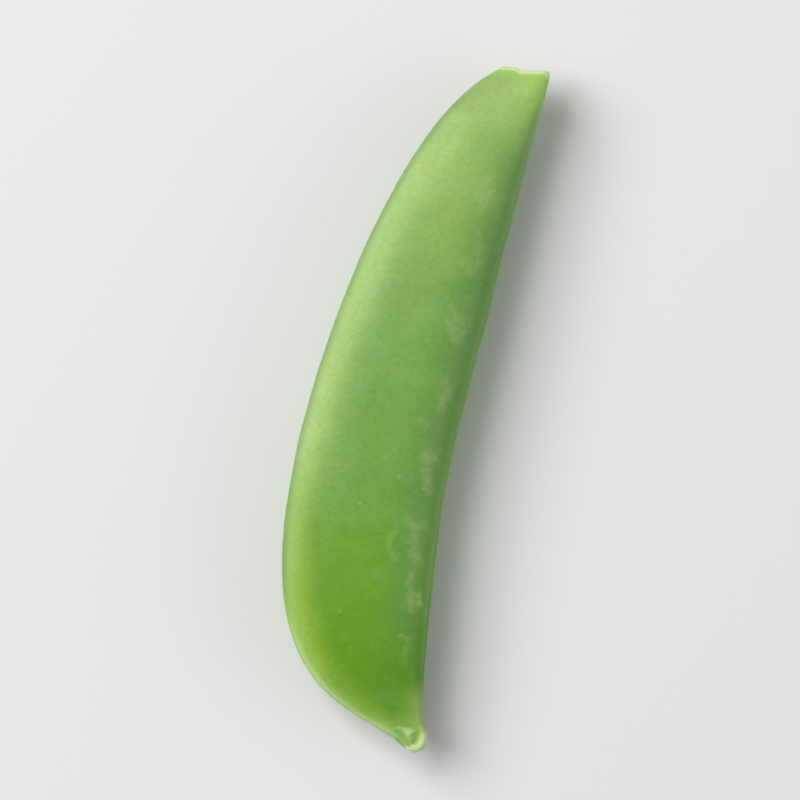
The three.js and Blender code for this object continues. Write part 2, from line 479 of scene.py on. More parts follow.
@dataclass(frozen=True)
class Beak:
    """The stub of the style at the pod's tip.

    The skin ends in a collar, which hangs over the stub as a pale flap like a blunt tooth. The stub is
    green on the back's side, with a valley between the collar and the back edge. On the seam's side the
    thick edges of the seam end in a wide cream knob, and a dry crack parts the knob from the green. Both
    sides of the pod have the same forms. Places, widths and reaches are in millimetres, and a stroke
    named dry, pale or shade is a share of a colour.
    """

    collar_line: Trace = Trace(((76.35, 2.5), (76.12, 1.9), (76.1, 1.2), (76.05, 0.5), (76.3, 0.1)))
    valley_line: Trace = Trace(((76.6, 2.0), (76.95, 1.5), (77.45, 1.0), (77.95, 0.55)))
    crack_line: Trace = Trace(((76.35, -0.12), (76.8, -0.2), (77.2, -0.2), (77.55, -0.05)))
    notch_line: Trace = Trace(((77.85, 0.5), (78.02, 0.3)))
    knob_line: Trace = Trace(
        ((75.9, -0.9), (76.4, -1.22), (77.3, -1.12), (78.0, -0.76), (78.42, -0.22), (78.4, 0.4))
    )
    hem_line: Trace = Trace(((70.6, 0.45), (72.0, 0.3), (73.7, -0.05), (74.9, -0.4), (75.7, -0.6)))

    flap: tuple[tuple[float, float], ...] = ((76.22, 1.55), (76.08, 0.12), (77.02, 0.6))
    flap_inset: float = 0.03
    flap_softness: float = 0.08
    flap_height: float = 0.15 * MM
    collar: Stroke = Stroke(collar_line, 0.16, 0.1 * MM, (0, 0.25))
    valley: Stroke = Stroke(valley_line, 0.34, 0.22 * MM, (-0.4, 0.6))
    crack: Stroke = Stroke(crack_line, 0.2, 0.17 * MM, (0, 0.25))
    notch: Stroke = Stroke(notch_line, 0.2, 0.12 * MM)
    knob: Stroke = Stroke(knob_line, 0.46, 0.2 * MM, (0, 1 / 6))
    rib_height: float = 0.1 * MM
    rib_from_back: float = 1.1
    rib_reach: float = 0.5
    rib_growth: tuple[float, float] = (64, 72)
    rib_ending: tuple[float, float] = (77.4, 76.6)
    scar_start: float = 78.15 * MM
    scar_softness: float = 0.06 * MM
    scar_depth: float = 0.3 * MM
    scar_reach: float = 0.42 * MM

    cream_width: float = 0.5
    cream_softness: float = 0.09
    cream_growth: tuple[float, float] = (-0.0875, 0.1625)
    cream_spot: tuple[float, float] = (77.86, -0.08)
    cream_spot_reach: float = 0.26
    cream_spot_share: float = 0.9
    cream_end: float = 78.3
    cream_end_softness: float = 0.08
    dry_crack: Stroke = Stroke(crack_line, 0.24, 0.7, (1 / 3, 2 / 3))
    dry_notch: Stroke = Stroke(notch_line, 0.18, 0.85)
    pale_collar: Stroke = Stroke(collar_line, 0.15, 0.45, (0, 0.25))
    pale_flap: float = 0.9
    hem_width: float = 0.6
    hem_softness: float = 0.14
    hem_share: float = 0.8
    hem_glow: float = 0.55
    hem_glow_reach: float = 1.5
    hem_growth: tuple[float, float] = (0, 0.4)
    back_hem_width: float = 1.65
    back_hem_softness: float = 0.3
    back_hem_growth: tuple[float, float] = (63, 71)
    back_hem_ending: tuple[float, float] = (77.6, 77)
    valley_shade: Stroke = Stroke(valley_line, 0.45, 0.8)

    def _flap(self, s: np.ndarray, y: np.ndarray) -> np.ndarray:
        """1 on the pale flap, between its three corners.

        Args:
            s: distances from the cut, in metres.
            y: heights over the chord, in metres.

        Returns:
            0 to 1 for each point.
        """
        here = np.stack([s, y], axis=-1) / MM
        corners = np.array(self.flap)
        inside = np.full(s.shape, np.inf)
        for start, end in zip(corners, np.roll(corners, -1, axis=0)):
            way = (end - start) / np.linalg.norm(end - start)
            offset = here - start
            inside = np.minimum(inside, way[0] * offset[..., 1] - way[1] * offset[..., 0])
        return step(inside - self.flap_inset, self.flap_softness)

    def relief(self, s: np.ndarray, y: np.ndarray) -> np.ndarray:
        """How far the stub's forms stand out of the two faces of the pod at points seen from above.

        Args:
            s: distances from the cut, in metres.
            y: heights over the chord, in metres.

        Returns:
            The heights, in metres.
        """
        height = self.collar.at(s, y) + self.flap_height * self._flap(s, y)
        for sunken in (self.valley, self.crack, self.notch):
            height -= sunken.at(s, y)
        return height + self.knob.at(s, y)

    def rib(self, s: np.ndarray, to_back: np.ndarray) -> np.ndarray:
        """How far the back's rib stands out of both faces where it runs into the beak."""
        along = rise(s / MM, *self.rib_growth) * rise(s / MM, *self.rib_ending)
        return self.rib_height * hill(to_back / MM - self.rib_from_back, self.rib_reach) * along

    def scar(self, s: np.ndarray, y: np.ndarray, z: np.ndarray, centre: tuple[float, float]) -> np.ndarray:
        """How far the broken end is hollowed.

        Args:
            s: distances from the cut, in metres.
            y: heights over the chord, in metres.
            z: heights above the table, in metres.
            centre: the scar's middle, as a height over the chord and a height above the table.

        Returns:
            The depths, in metres, which point from the tip towards the neck.
        """
        hollow = hill(np.hypot(y - centre[0], z - centre[1]), self.scar_reach)
        end = step(s - self.scar_start, self.scar_softness)
        return self.scar_depth * hollow * end

    def cream(self, s: np.ndarray, y: np.ndarray) -> np.ndarray:
        """How cream the skin is: fully on the knob and on the broken end, and in a spot past the crack.

        Args:
            s: distances from the cut, in metres.
            y: heights over the chord, in metres.

        Returns:
            0 to 1 for each point.
        """
        distance, along = self.knob_line.measure(s, y)
        knob = step(self.cream_width - distance, self.cream_softness) * rise(along, *self.cream_growth)
        to_spot = np.hypot(s / MM - self.cream_spot[0], y / MM - self.cream_spot[1])
        spot = self.cream_spot_share * hill(to_spot, self.cream_spot_reach)
        end = step(s / MM - self.cream_end, self.cream_end_softness)
        return np.maximum(np.maximum(knob, end), spot)

    def dry(self, s: np.ndarray, y: np.ndarray) -> np.ndarray:
        """How dry and brown the skin is: along the crack and in the notch."""
        return np.maximum(self.dry_crack.at(s, y), self.dry_notch.at(s, y))

    def lip(self, s: np.ndarray, y: np.ndarray) -> np.ndarray:
        """How pale the collar is: a thin line that widens to the flap."""
        return np.maximum(self.pale_collar.at(s, y), self.pale_flap * self._flap(s, y))

    def hem(self, s: np.ndarray, y: np.ndarray, to_back: np.ndarray) -> np.ndarray:
        """How pale the pod's edges are where they run into the beak, the back's partly a painted highlight.

        Args:
            s: distances from the cut, in metres.
            y: heights over the chord, in metres.
            to_back: distances over the skin to the back edge, in metres.

        Returns:
            Up to 1 along the back edge, and less along the seam.
        """
        distance, along = self.hem_line.measure(s, y)
        strip = self.hem_share * step(self.hem_width - distance, self.hem_softness)
        strip = np.maximum(strip, self.hem_glow * hill(distance, self.hem_glow_reach))
        back = step(self.back_hem_width - to_back / MM, self.back_hem_softness)
        back *= rise(s / MM, *self.back_hem_growth) * (1 - self.valley_shade.at(s, y))
        back *= rise(s / MM, *self.back_hem_ending)
        return np.maximum(strip * rise(along, *self.hem_growth), back)


@dataclass(frozen=True)
class NeckCut:
    """The cut neck: a pale rim, the flesh of both halves, and the slit between them.

    The cut isn't quite square to the pod, and has a small step where the knife left the first edge.
    The cut line gives how far it lies back from the neck's end, in millimetres, at places across the
    neck from the seam (-1) to the back (1). A wave of the slit's lips has its share of the opening, its
    turns and its shift.
    """

    cut_line: tuple[tuple[float, float], ...] = (
        (-1, -0.24),
        (-0.8, -0.15),
        (-0.45, -0.05),
        (-0.15, 0.08),
        (0.2, 0.24),
        (0.31, -0.03),
        (0.7, 0.0),
        (0.88, 0.05),
        (1, 0.2),
    )
    bevel: float = 0.24 * MM
    back_bevel: float = 0.16 * MM
    bevel_share: float = 0.2
    strand: float = 0.3 * MM
    reach: float = 1.8 * MM
    wall: float = 0.85 * MM
    half_gap: float = 0.42 * MM
    depth: float = 6 * MM
    bevel_change: float = 0.15
    bevel_softness: float = 0.1
    strand_edge: float = -0.84
    strand_softness: float = 0.03
    ripple: float = 0.02 * MM
    ripple_turns: float = 11
    slit_waves: tuple[tuple[float, float, float], ...] = ((0.12, 9, 0), (0.08, 17, 1))
    slit_share: float = 0.8
    slit_narrowing: float = 0.75
    face_rings: int = 14
    face_crowding: float = 1.6
    slit_rings: int = 22

    def face_setback(self, across: np.ndarray) -> np.ndarray:
        """How far the cut face lies back from the neck's end, at places from seam (-1) to back (1).

        Args:
            across: places across the neck, from the seam (-1) to the back (1).

        Returns:
            The distances, in metres.
        """
        places, distances = np.array(self.cut_line).T
        ripple = self.ripple * np.sin(self.ripple_turns * across)
        return np.interp(across, places, distances) * MM + ripple

    def setback(self, across: np.ndarray) -> np.ndarray:
        """How far the skin's edge lies back, which is most at the seam.

        It lies further back than the face by the flesh's bevel. At the seam the knife also bares the
        end of the pale strand.

        Args:
            across: places across the neck, from the seam (-1) to the back (1).

        Returns:
            The distances from the neck's end, in metres.
        """
        near_seam = step(self.bevel_change - across, self.bevel_softness)
        bevel = self.back_bevel + (self.bevel - self.back_bevel) * near_seam
        strand = self.strand * step(self.strand_edge - across, self.strand_softness)
        return self.face_setback(across) + bevel + strand

    def rings(self, rim: np.ndarray, across: np.ndarray, up: np.ndarray) -> tuple[np.ndarray, np.ndarray]:
        """The rings past the rim, over the cut face and down the slit.

        Args:
            rim: the last ring of skin, one point a row, with the neck's end at x = 0.
            across: the rim's places from the seam (-1) to the back (1).
            up: the rim's places from the underside (-1) to the top (1).

        Returns:
            The rings, and each ring's place from the cut face (0) to the slit's bottom (1).
        """
        middle = rim.mean(axis=0)
        back, seam = rim[0], rim[len(rim) // 2]
        width = np.linalg.norm(back - seam) / 2
        direction = (back - seam) / np.linalg.norm(back - seam)
        angles = np.arctan2(up, across)
        lens = np.cos(angles)
        lip = middle + np.outer((width - self.wall) * lens, direction)
        opening = np.ones_like(lens)
        for size, turns, shift in self.slit_waves:
            opening += size * np.sin(turns * lens + shift)
        lip[:, 2] += self.half_gap * np.sin(angles) * opening
        lip_across = lens * self.slit_share
        lip[:, 0] = -self.face_setback(lip_across)
        rings, depths = [], []
        for i in range(1, self.face_rings + 1):
            share = (i / self.face_rings) ** self.face_crowding
            ring = rim + (lip - rim) * share
            out = math.sin(min(1.0, share / self.bevel_share) * math.pi / 2)
            face = -self.face_setback(across + (lip_across - across) * share)
            ring[:, 0] = rim[:, 0] + (face - rim[:, 0]) * out
            rings.append(ring)
            depths.append(0.0)
        for i in range(1, self.slit_rings + 1):
            share = i / self.slit_rings
            narrow = 1 - self.slit_narrowing * share**2
            ring = lip.copy()
            ring[:, 0] -= self.depth * share
            ring[:, 1] = middle[1] + (lip[:, 1] - middle[1]) * (1 + narrow) / 2
            ring[:, 2] = middle[2] + (lip[:, 2] - middle[2]) * narrow
            rings.append(ring)
            depths.append(share)
        return np.array(rings), np.array(depths)


@dataclass(frozen=True)
class Unevenness:
    """The slight unevenness of grown skin, as soft noise along the surface's normals."""

    broad: float = 0.1 * MM
    broad_size: float = 7 * MM
    fine: float = 0.035 * MM
    fine_size: float = 1.8 * MM
    neck_fade: float = 6 * MM
    beak_fade: float = 3 * MM
    seed: Vector = field(default_factory=lambda: Vector((3.7, 1.3, 8.1)))

    def height_at(self, points: np.ndarray) -> np.ndarray:
        """How far the skin stands out at each of the points.

        Args:
            points: the points, one a row, in metres.

        Returns:
            The heights, in metres.
        """
        heights = np.empty(len(points))
        for i, point in enumerate(points):
            place = Vector(point)
            broad = noise.noise(place / self.broad_size + self.seed)
            fine = noise.noise(place / self.fine_size - self.seed)
            heights[i] = self.broad * broad + self.fine * fine
        return heights


@dataclass(frozen=True)
class Wander:
    """How far the seam's line strays sideways along the pod, as two waves."""

    reach: float = 0.09 * MM
    long_wave: float = 17 * MM
    long_shift: float = 0.7
    short_wave: float = 5.3 * MM
    short_share: float = 0.6

    def at(self, s: np.ndarray) -> np.ndarray:
        """How far the line strays at distances from the cut."""
        slow = np.sin(2 * np.pi * s / self.long_wave + self.long_shift)
        return self.reach * (slow + self.short_share * np.sin(2 * np.pi * s / self.short_wave))


@dataclass
class Skin:
    """The grid of skin: a row for each ring from the beak to the neck, a column for each place round.

    The points are metres from the middle of the cut, with X towards the neck. The rest are, for each
    point, its place across its rib (-1 at the seam, 1 at the back), its place between the underside
    (-1) and the top (1), and its distances over the skin to both edges and to the cut.
    """

    points: np.ndarray
    across: np.ndarray
    up: np.ndarray
    to_edge: dict[Edge, np.ndarray]
    to_cut: np.ndarray

    @property
    def s(self) -> np.ndarray:
        """Distances from the cut."""
        return -self.points[:, :, 0]

    @property
    def y(self) -> np.ndarray:
        """Heights over the chord."""
        return self.points[:, :, 1]

    @property
    def top(self) -> np.ndarray:
        """True for the points of the upper side."""
        return self.up > 0

    def normals(self) -> np.ndarray:
        """The directions in which the skin faces.

        Returns:
            A direction of length 1 for each point of the grid.
        """
        points = self.points
        along = np.empty_like(points)
        along[1:-1] = points[2:] - points[:-2]
        along[0], along[-1] = points[1] - points[0], points[-1] - points[-2]
        around = np.roll(points, -1, axis=1) - np.roll(points, 1, axis=1)
        normal = np.cross(around, along)
        return normal / np.maximum(np.linalg.norm(normal, axis=2, keepdims=True), TINY)


@dataclass
class PeaPod:
    """The whole pod: one mesh from its beak to the bottom of the slit in its neck.

    The beak's forms and its colours are full on the pod's two faces and fade out on its sides, below
    the shares of the half thickness that form_face and colour_face give.
    """

    low: Vector
    high: Vector
    section: Section = field(default_factory=Section)
    peas: PeaRow = field(default_factory=PeaRow)
    scuffs: Scuffs = field(default_factory=Scuffs)
    rest: RestPatch = field(default_factory=RestPatch)
    beak: Beak = field(default_factory=Beak)
    neck: NeckCut = field(default_factory=NeckCut)
    unevenness: Unevenness = field(default_factory=Unevenness)
    seam_wander: Wander = field(default_factory=Wander)
    seam_ridge: Ridge = Ridge(Edge.SEAM, 0.42 * MM, 0.75 * MM, 0.2 * MM, 0.17 * MM)
    back_ridge: Ridge = Ridge(Edge.BACK, 0.2 * MM, 1.1 * MM, 0.03 * MM, 0.12 * MM)
    rest_roll: float = -0.025
    twist: float = -0.12
    neck_turn: float = -0.22
    neck_turn_reach: float = 0.12
    bow: float = 0.7 * MM
    thin_half: float = 4.5 * MM
    nick_height: float = 0.1 * MM
    form_face: float = 0.625
    colour_face: float = 1 / 3

    def build(self) -> bpy.types.Object:
        """Lofts the pod and puts it where the frame's pod lies.

        Returns:
            The pod's object, which has no finishes yet.
        """
        plan = Plan(length=self.high.x - self.low.x)
        skin = self._skin(plan)
        flesh, depths = self.neck.rings(skin.points[-1], skin.across[-1], skin.up[-1])
        grid = np.concatenate([skin.points, flesh])
        pod = self._mesh(self._placed(grid, skin), len(skin.points))
        self._keep_fields(pod, plan, skin, depths)
        return pod

    def _skin(self, plan: Plan) -> Skin:
        """The skin over all the ribs, with every form on it.

        Args:
            plan: the pod's outline.

        Returns:
            The grid of skin, from the beak to the cut.
        """
        shares = plan.stations()
        rows = plan.rows(shares)
        across, up = self.section.ovals(shares)
        back, seam, half = rows[:, None, 0:2], rows[:, None, 2:4], rows[:, None, 4]
        middle, reach = (back + seam) / 2, (back - seam) / 2
        half_width = np.linalg.norm(reach, axis=2)
        to_edge = self._edge_distances(half_width * across, half * up)
        wander = self.seam_wander.at(-rows[:, 2])[:, None]
        to_edge[Edge.SEAM] = np.abs(to_edge[Edge.SEAM] * np.where(up < 0, -1, 1) + wander)
        inset = self._inset(across, to_edge) * np.minimum(1, half / self.thin_half) ** 2
        out = across * (1 - inset / half_width)
        seen = middle + reach * out[:, :, None]
        x, y = seen[:, :, 0], seen[:, :, 1]
        tall = up * (half + self.peas.swelling(plan, x, y) * np.abs(up))
        forms = self.beak.relief(-x, y) + self.beak.rib(-x, to_edge[Edge.BACK])
        tall += forms * np.sign(up) * rise(np.abs(up), 0, self.form_face)
        tall += self.nick_height * self.scuffs.nicks_at(-x, y, up > 0)
        neck_turn = self.neck_turn * hill(shares, self.neck_turn_reach)
        turn = (self.rest_roll + self.twist * (shares - 0.5) + neck_turn)[:, None]
        lift = (plan.thickness / 2 + self.bow * (2 * shares - 1) ** 2)[:, None]
        z = lift + tall * np.cos(turn) + out * half_width * np.sin(turn)
        x = x + self.beak.scar(-x, y, z, (rows[0, 1], lift[0, 0]))
        skin = Skin(np.stack([x, y, z], axis=2), across, up, to_edge, to_cut=-x)
        self._make_uneven(skin)
        skin.points[:, :, 2] = self.rest.press(skin.points[:, :, 2])
        near_cut = np.clip(1 - skin.s / self.neck.reach, 0, 1)
        skin.points[:, :, 0] -= near_cut * self.neck.setback(across)
        return skin

    def _edge_distances(self, y: np.ndarray, z: np.ndarray) -> dict[Edge, np.ndarray]:
        """Each point's distances over the skin to both edges.

        Args:
            y: places across the rib, in metres.
            z: heights over the rib, in metres.

        Returns:
            The distances to the back edge and to the seam.
        """
        steps = np.hypot(y - np.roll(y, 1, axis=1), z - np.roll(z, 1, axis=1))
        travel = np.cumsum(steps, axis=1) - steps[:, :1]
        whole = travel[:, -1:] + steps[:, :1]
        at_seam = travel[:, self.section.around // 2][:, None]
        return {Edge.BACK: np.minimum(travel, whole - travel), Edge.SEAM: np.abs(travel - at_seam)}

    def _inset(self, across: np.ndarray, to_edge: dict[Edge, np.ndarray]) -> np.ndarray:
        """How far the skin lies inside the outline that the crowns of both ridges make.

        Args:
            across: the points' places across their ribs, from the seam (-1) to the back (1).
            to_edge: the points' distances over the skin to each edge.

        Returns:
            The distances, in metres.
        """
        inset = np.zeros_like(across)
        for ridge, side in ((self.back_ridge, across > 0), (self.seam_ridge, across <= 0)):
            inset = np.where(side, ridge.crown() - ridge.height_at(to_edge[ridge.edge]), inset)
        return inset

    def _make_uneven(self, skin: Skin) -> None:
        """Gives the skin its slight unevenness, which fades out at both ends.

        Args:
            skin: the grid of skin, whose points it moves.
        """
        heights = self.unevenness.height_at(skin.points.reshape(-1, 3)).reshape(skin.s.shape)
        from_tip = skin.s.max() - skin.s
        fade = rise(skin.s, 0, self.unevenness.neck_fade) * rise(from_tip, 0, self.unevenness.beak_fade)
        skin.points += skin.normals() * (heights * fade)[:, :, None]

    def _placed(self, grid: np.ndarray, skin: Skin) -> np.ndarray:
        """The grid moved so that its skin's box has the middle and the foot of the frame's pod.

        Args:
            grid: points as rings by places round the ring.
            skin: the grid of skin, which the grid starts with.

        Returns:
            The moved grid.
        """
        low, high = skin.points.min(axis=(0, 1)), skin.points.max(axis=(0, 1))
        shift = (np.array(self.low) + np.array(self.high) - low - high) / 2
        shift[2] = self.low.z - low[2]
        return grid + shift

    def _mesh(self, grid: np.ndarray, skin_rings: int) -> bpy.types.Object:
        """Turns the grid of rings into a closed mesh.

        Args:
            grid: points as rings by places round the ring, from the beak to the slit's bottom.
            skin_rings: how many of the rings are skin.

        Returns:
            The pod's object, with a smooth surface.
        """
        rings, around = grid.shape[:2]
        points = np.concatenate([grid.reshape(-1, 3), [grid[0].mean(axis=0), grid[-1].mean(axis=0)]])
        ring = np.arange(rings - 1)[:, None] * around
        here = np.arange(around)[None, :]
        after = (here + 1) % around
        quads = np.stack([ring + here, ring + after, ring + around + after, ring + around + here], axis=2)
        tip, bottom, last = rings * around, rings * around + 1, (rings - 1) * around
        tip_cap = [(tip, (i + 1) % around, i) for i in range(around)]
        bottom_cap = [(bottom, last + i, last + (i + 1) % around) for i in range(around)]
        mesh = bpy.data.meshes.new("pod")
        mesh.from_pydata(points.tolist(), [], quads.reshape(-1, 4).tolist() + tip_cap + bottom_cap)
        tissues = np.full(len(mesh.polygons), Tissue.SKIN.value)
        tissues[(skin_rings - 1) * around : (rings - 1) * around] = Tissue.FLESH.value
        tissues[-around:] = Tissue.FLESH.value
        mesh.polygons.foreach_set("material_index", tissues)
        mesh.polygons.foreach_set("use_smooth", np.ones(len(mesh.polygons), dtype=bool))
        mesh.update()
        pod = bpy.data.objects.new("pod", mesh)
        bpy.context.scene.collection.objects.link(pod)
        return pod

    def _keep_fields(self, pod: bpy.types.Object, plan: Plan, skin: Skin, depths: np.ndarray) -> None:
        """Stores on the mesh the numbers that the finishes read.

        Args:
            pod: the pod's object.
            plan: the pod's outline.
            skin: the grid of skin.
            depths: the place of each ring of flesh, from the cut face (0) to the slit's bottom (1).
        """
        s, y = skin.s, skin.y
        face = rise(np.abs(skin.up), 0, self.colour_face)
        fields = {
            Field.ALONG: s / plan.length,
            Field.TO_BACK: skin.to_edge[Edge.BACK],
            Field.TO_SEAM: skin.to_edge[Edge.SEAM],
            Field.TO_CUT: skin.to_cut,
            Field.SCUFF: self.scuffs.strength_at(s, y, skin.top),
            Field.NICK: self.scuffs.nicks_at(s, y, skin.top),
            Field.HEM: self.beak.hem(s, y, skin.to_edge[Edge.BACK]) * face,
            Field.HOLLOW: self.peas.hollow(plan, -s, y),
            Field.CREAM: self.beak.cream(s, y),
            Field.DRY: self.beak.dry(s, y) * face,
            Field.LIP: self.beak.lip(s, y) * face,
            Field.DEPTH: np.zeros_like(s),
        }
        around = self.section.around
        for key, values in fields.items():
            flesh = np.tile(values[-1], (len(depths), 1)) if key in (Field.TO_BACK, Field.TO_SEAM) else 0
            flesh = flesh + (np.repeat(depths, around).reshape(-1, around) if key is Field.DEPTH else 0)
            flesh = np.broadcast_to(flesh, (len(depths), around))
            ends = [values[0].mean(), flesh[-1].mean()]
            whole = np.concatenate([values.ravel(), flesh.ravel(), ends])
            attribute = pod.data.attributes.new(key.value, "FLOAT", "POINT")
            attribute.data.foreach_set("value", whole.astype(np.float32))

    def dress(self, pod: bpy.types.Object, skin: bpy.types.Material, flesh: bpy.types.Material) -> None:
        """Gives the pod its two finishes, in the order of Tissue."""
        pod.data.materials.append(skin)
        pod.data.materials.append(flesh)


# ---------------------------------------------------------------------------------------------------
# Finishes
# ---------------------------------------------------------------------------------------------------

Socket = bpy.types.NodeSocket
Number = Socket | float
Stops = tuple[tuple[float, Colour], ...]


@dataclass(frozen=True)
class Fade:
    """A smooth change: values between low and high become values between start and end."""

    low: float
    high: float
    start: float = 0.0
    end: float = 1.0


Patch = tuple[tuple[Field, Fade], ...]  # a part of the skin, where fades of the kept numbers overlap


@dataclass(frozen=True)
class Cloud:
    """Soft noise, which can be turned about Z and drawn out so that it runs one way.

    Its clouds are about size across, and detail and rough say how much finer noise they carry. The
    stretch says how fast the noise changes along each axis, as a share of its plain speed.
    """

    size: float
    detail: float = 2
    rough: float = 0.5
    turn: float = 0.0
    stretch: tuple[float, float, float] | None = None


@dataclass(frozen=True)
class Film:
    """A thin tinted film, laid on as a value passes through a fade."""

    tint: Tint
    fade: Fade


@dataclass(frozen=True)
class Grit:
    """How deep a fine relief is, and with what strength it turns the light."""

    depth: float
    strength: float


class Shader:
    """One material's node tree, with a short call for each kind of node it needs."""

    def __init__(self, name: str) -> None:
        """Starts an empty material with a Principled surface.

        Args:
            name: the material's name.
        """
        self.material = bpy.data.materials.new(name)
        self.material.use_nodes = True
        self.tree = self.material.node_tree
        self.tree.nodes.clear()
        self.surface = self.tree.nodes.new("ShaderNodeBsdfPrincipled")
        output = self.tree.nodes.new("ShaderNodeOutputMaterial")
        self.tree.links.new(self.surface.outputs[0], output.inputs["Surface"])

    def _put(self, target: Socket, value: Number | Colour) -> None:
        """Links a socket to an input, or writes a number or a colour on it.

        Args:
            target: the input.
            value: what it gets.
        """
        if isinstance(value, bpy.types.NodeSocket):
            self.tree.links.new(value, target)
        elif isinstance(value, Colour):
            target.default_value = value.linear()
        else:
            target.default_value = value

    def set(self, **values: float | tuple[float, ...]) -> None:
        """Writes numbers on the surface's own sockets, whose names are given with underscores."""
        for name, value in values.items():
            self.surface.inputs[name.replace("_", " ")].default_value = value

    def feed(self, name: str, value: Socket) -> None:
        """Links a socket to one of the surface's inputs."""
        self.tree.links.new(value, self.surface.inputs[name])

    def field(self, key: Field) -> Socket:
        """A number kept at each point of the mesh.

        Args:
            key: which of the numbers.

        Returns:
            The number's socket.
        """
        node = self.tree.nodes.new("ShaderNodeAttribute")
        node.attribute_name = key.value
        return node.outputs["Fac"]

    def place(self) -> Socket:
        """The point's own place on the pod."""
        return self.tree.nodes.new("ShaderNodeTexCoord").outputs["Object"]

    def _drawn(self, place: Socket, cloud: Cloud) -> Socket:
        """The place turned and then stretched the way the cloud asks.

        Args:
            place: the point's place.
            cloud: the noise to be drawn out.

        Returns:
            The place at which the plain noise is read.
        """
        node = self.tree.nodes.new("ShaderNodeMapping")
        node.vector_type = "TEXTURE"
        node.inputs["Rotation"].default_value = (0, 0, cloud.turn)
        node.inputs["Scale"].default_value = tuple(1 / share for share in cloud.stretch)
        self._put(node.inputs["Vector"], place)
        return node.outputs[0]

    def noise(self, place: Socket, cloud: Cloud) -> Socket:
        """The cloud's noise, which runs from 0 to 1.

        Args:
            place: the point's place.
            cloud: the noise's size, detail and lie.

        Returns:
            The noise's socket.
        """
        node = self.tree.nodes.new("ShaderNodeTexNoise")
        node.inputs["Scale"].default_value = 1 / cloud.size
        node.inputs["Detail"].default_value = cloud.detail
        node.inputs["Roughness"].default_value = cloud.rough
        self._put(node.inputs["Vector"], self._drawn(place, cloud) if cloud.stretch else place)
        return node.outputs["Fac"]

    def cells(self, place: Socket, size: float) -> Socket:
        """How far the point is from the middle of its cell, in a pattern of cells.

        Args:
            place: the point's place.
            size: about how large a cell is, in metres.

        Returns:
            The distance's socket.
        """
        node = self.tree.nodes.new("ShaderNodeTexVoronoi")
        node.inputs["Scale"].default_value = 1 / size
        self._put(node.inputs["Vector"], place)
        return node.outputs["Distance"]

    def ramp(self, value: Socket, fade: Fade) -> Socket:
        """The value after a fade.

        Args:
            value: the value.
            fade: where it starts and ends.

        Returns:
            The faded value's socket.
        """
        node = self.tree.nodes.new("ShaderNodeMapRange")
        node.interpolation_type = "SMOOTHSTEP"
        numbers = {"From Min": fade.low, "From Max": fade.high, "To Min": fade.start, "To Max": fade.end}
        for name, number in numbers.items():
            node.inputs[name].default_value = number
        self._put(node.inputs["Value"], value)
        return node.outputs["Result"]

    def patch(self, patch: Patch) -> Socket:
        """How far a point lies in a patch: the product of the patch's fades."""
        return self.times(*(self.ramp(self.field(key), fade) for key, fade in patch))

    def blend(self, value: Socket, stops: Stops) -> Socket:
        """The colour at a value among stops, each a value and the colour there.

        Args:
            value: the value.
            stops: the stops, in order.

        Returns:
            The colour's socket.
        """
        node = self.tree.nodes.new("ShaderNodeValToRGB")
        node.color_ramp.interpolation = "EASE"
        elements = node.color_ramp.elements
        for position, _ in stops[2:]:
            elements.new(position)
        for element, (position, _) in zip(elements, stops):
            element.position = position
        for element, (_, colour) in zip(elements, stops):
            element.color = colour.linear()
        self._put(node.inputs["Fac"], value)
        return node.outputs["Color"]

    def _reckon(self, kind: str, first: Number, second: Number = 0.0) -> Socket:
        """The outcome of one kind of sum on two numbers.

        Args:
            kind: ADD, SUBTRACT, MULTIPLY or ABSOLUTE.
            first: the first number.
            second: the second number, where the kind needs one.

        Returns:
            The outcome's socket.
        """
        node = self.tree.nodes.new("ShaderNodeMath")
        node.operation = kind
        self._put(node.inputs[0], first)
        self._put(node.inputs[1], second)
        return node.outputs[0]

    def plus(self, first: Socket, second: Number) -> Socket:
        """Two numbers added."""
        return self._reckon("ADD", first, second)

    def minus(self, first: Socket, second: Number) -> Socket:
        """The second number taken from the first."""
        return self._reckon("SUBTRACT", first, second)

    def times(self, *factors: Number) -> Socket:
        """All the factors multiplied."""
        return reduce(lambda product, factor: self._reckon("MULTIPLY", product, factor), factors)

    def unsigned(self, value: Socket) -> Socket:
        """The number without its sign."""
        return self._reckon("ABSOLUTE", value)

    def mix(self, share: Number, first: Socket | Colour, second: Socket | Colour) -> Socket:
        """A colour between two, at a share of the way from the first to the second.

        Args:
            share: 0 for the first colour to 1 for the second.
            first: the first colour.
            second: the second colour.

        Returns:
            The colour's socket.
        """
        node = self.tree.nodes.new("ShaderNodeMix")
        node.data_type = "RGBA"
        node.clamp_factor = True
        self._put(node.inputs["Factor"], share)
        self._put(self._colour_input(node, "A"), first)
        self._put(self._colour_input(node, "B"), second)
        return next(out for out in node.outputs if out.type == "RGBA")

    def tint(self, share: Number, colour: Socket, tint: Tint) -> Socket:
        """A colour under a thin layer, which is laid on in a share of its strength.

        Args:
            share: 0 for none of the layer to 1 for all of it.
            colour: the colour under the layer.
            tint: what the layer lets through.

        Returns:
            The colour's socket.
        """
        out = self.mix(share, colour, Colour(0, 0, 0))
        node = out.node
        node.blend_type = "MULTIPLY"
        self._colour_input(node, "B").default_value = (tint.red, tint.green, tint.blue, 1)
        return out

    def lay(self, film: Film, value: Socket, colour: Socket) -> Socket:
        """A colour under a film, which is laid on as the value passes through the film's fade."""
        return self.tint(self.ramp(value, film.fade), colour, film.tint)

    @staticmethod
    def _colour_input(node: bpy.types.Node, name: str) -> Socket:
        """The colour input of a mix node that has inputs of several kinds by one name."""
        return next(entry for entry in node.inputs if entry.name == name and entry.type == "RGBA")

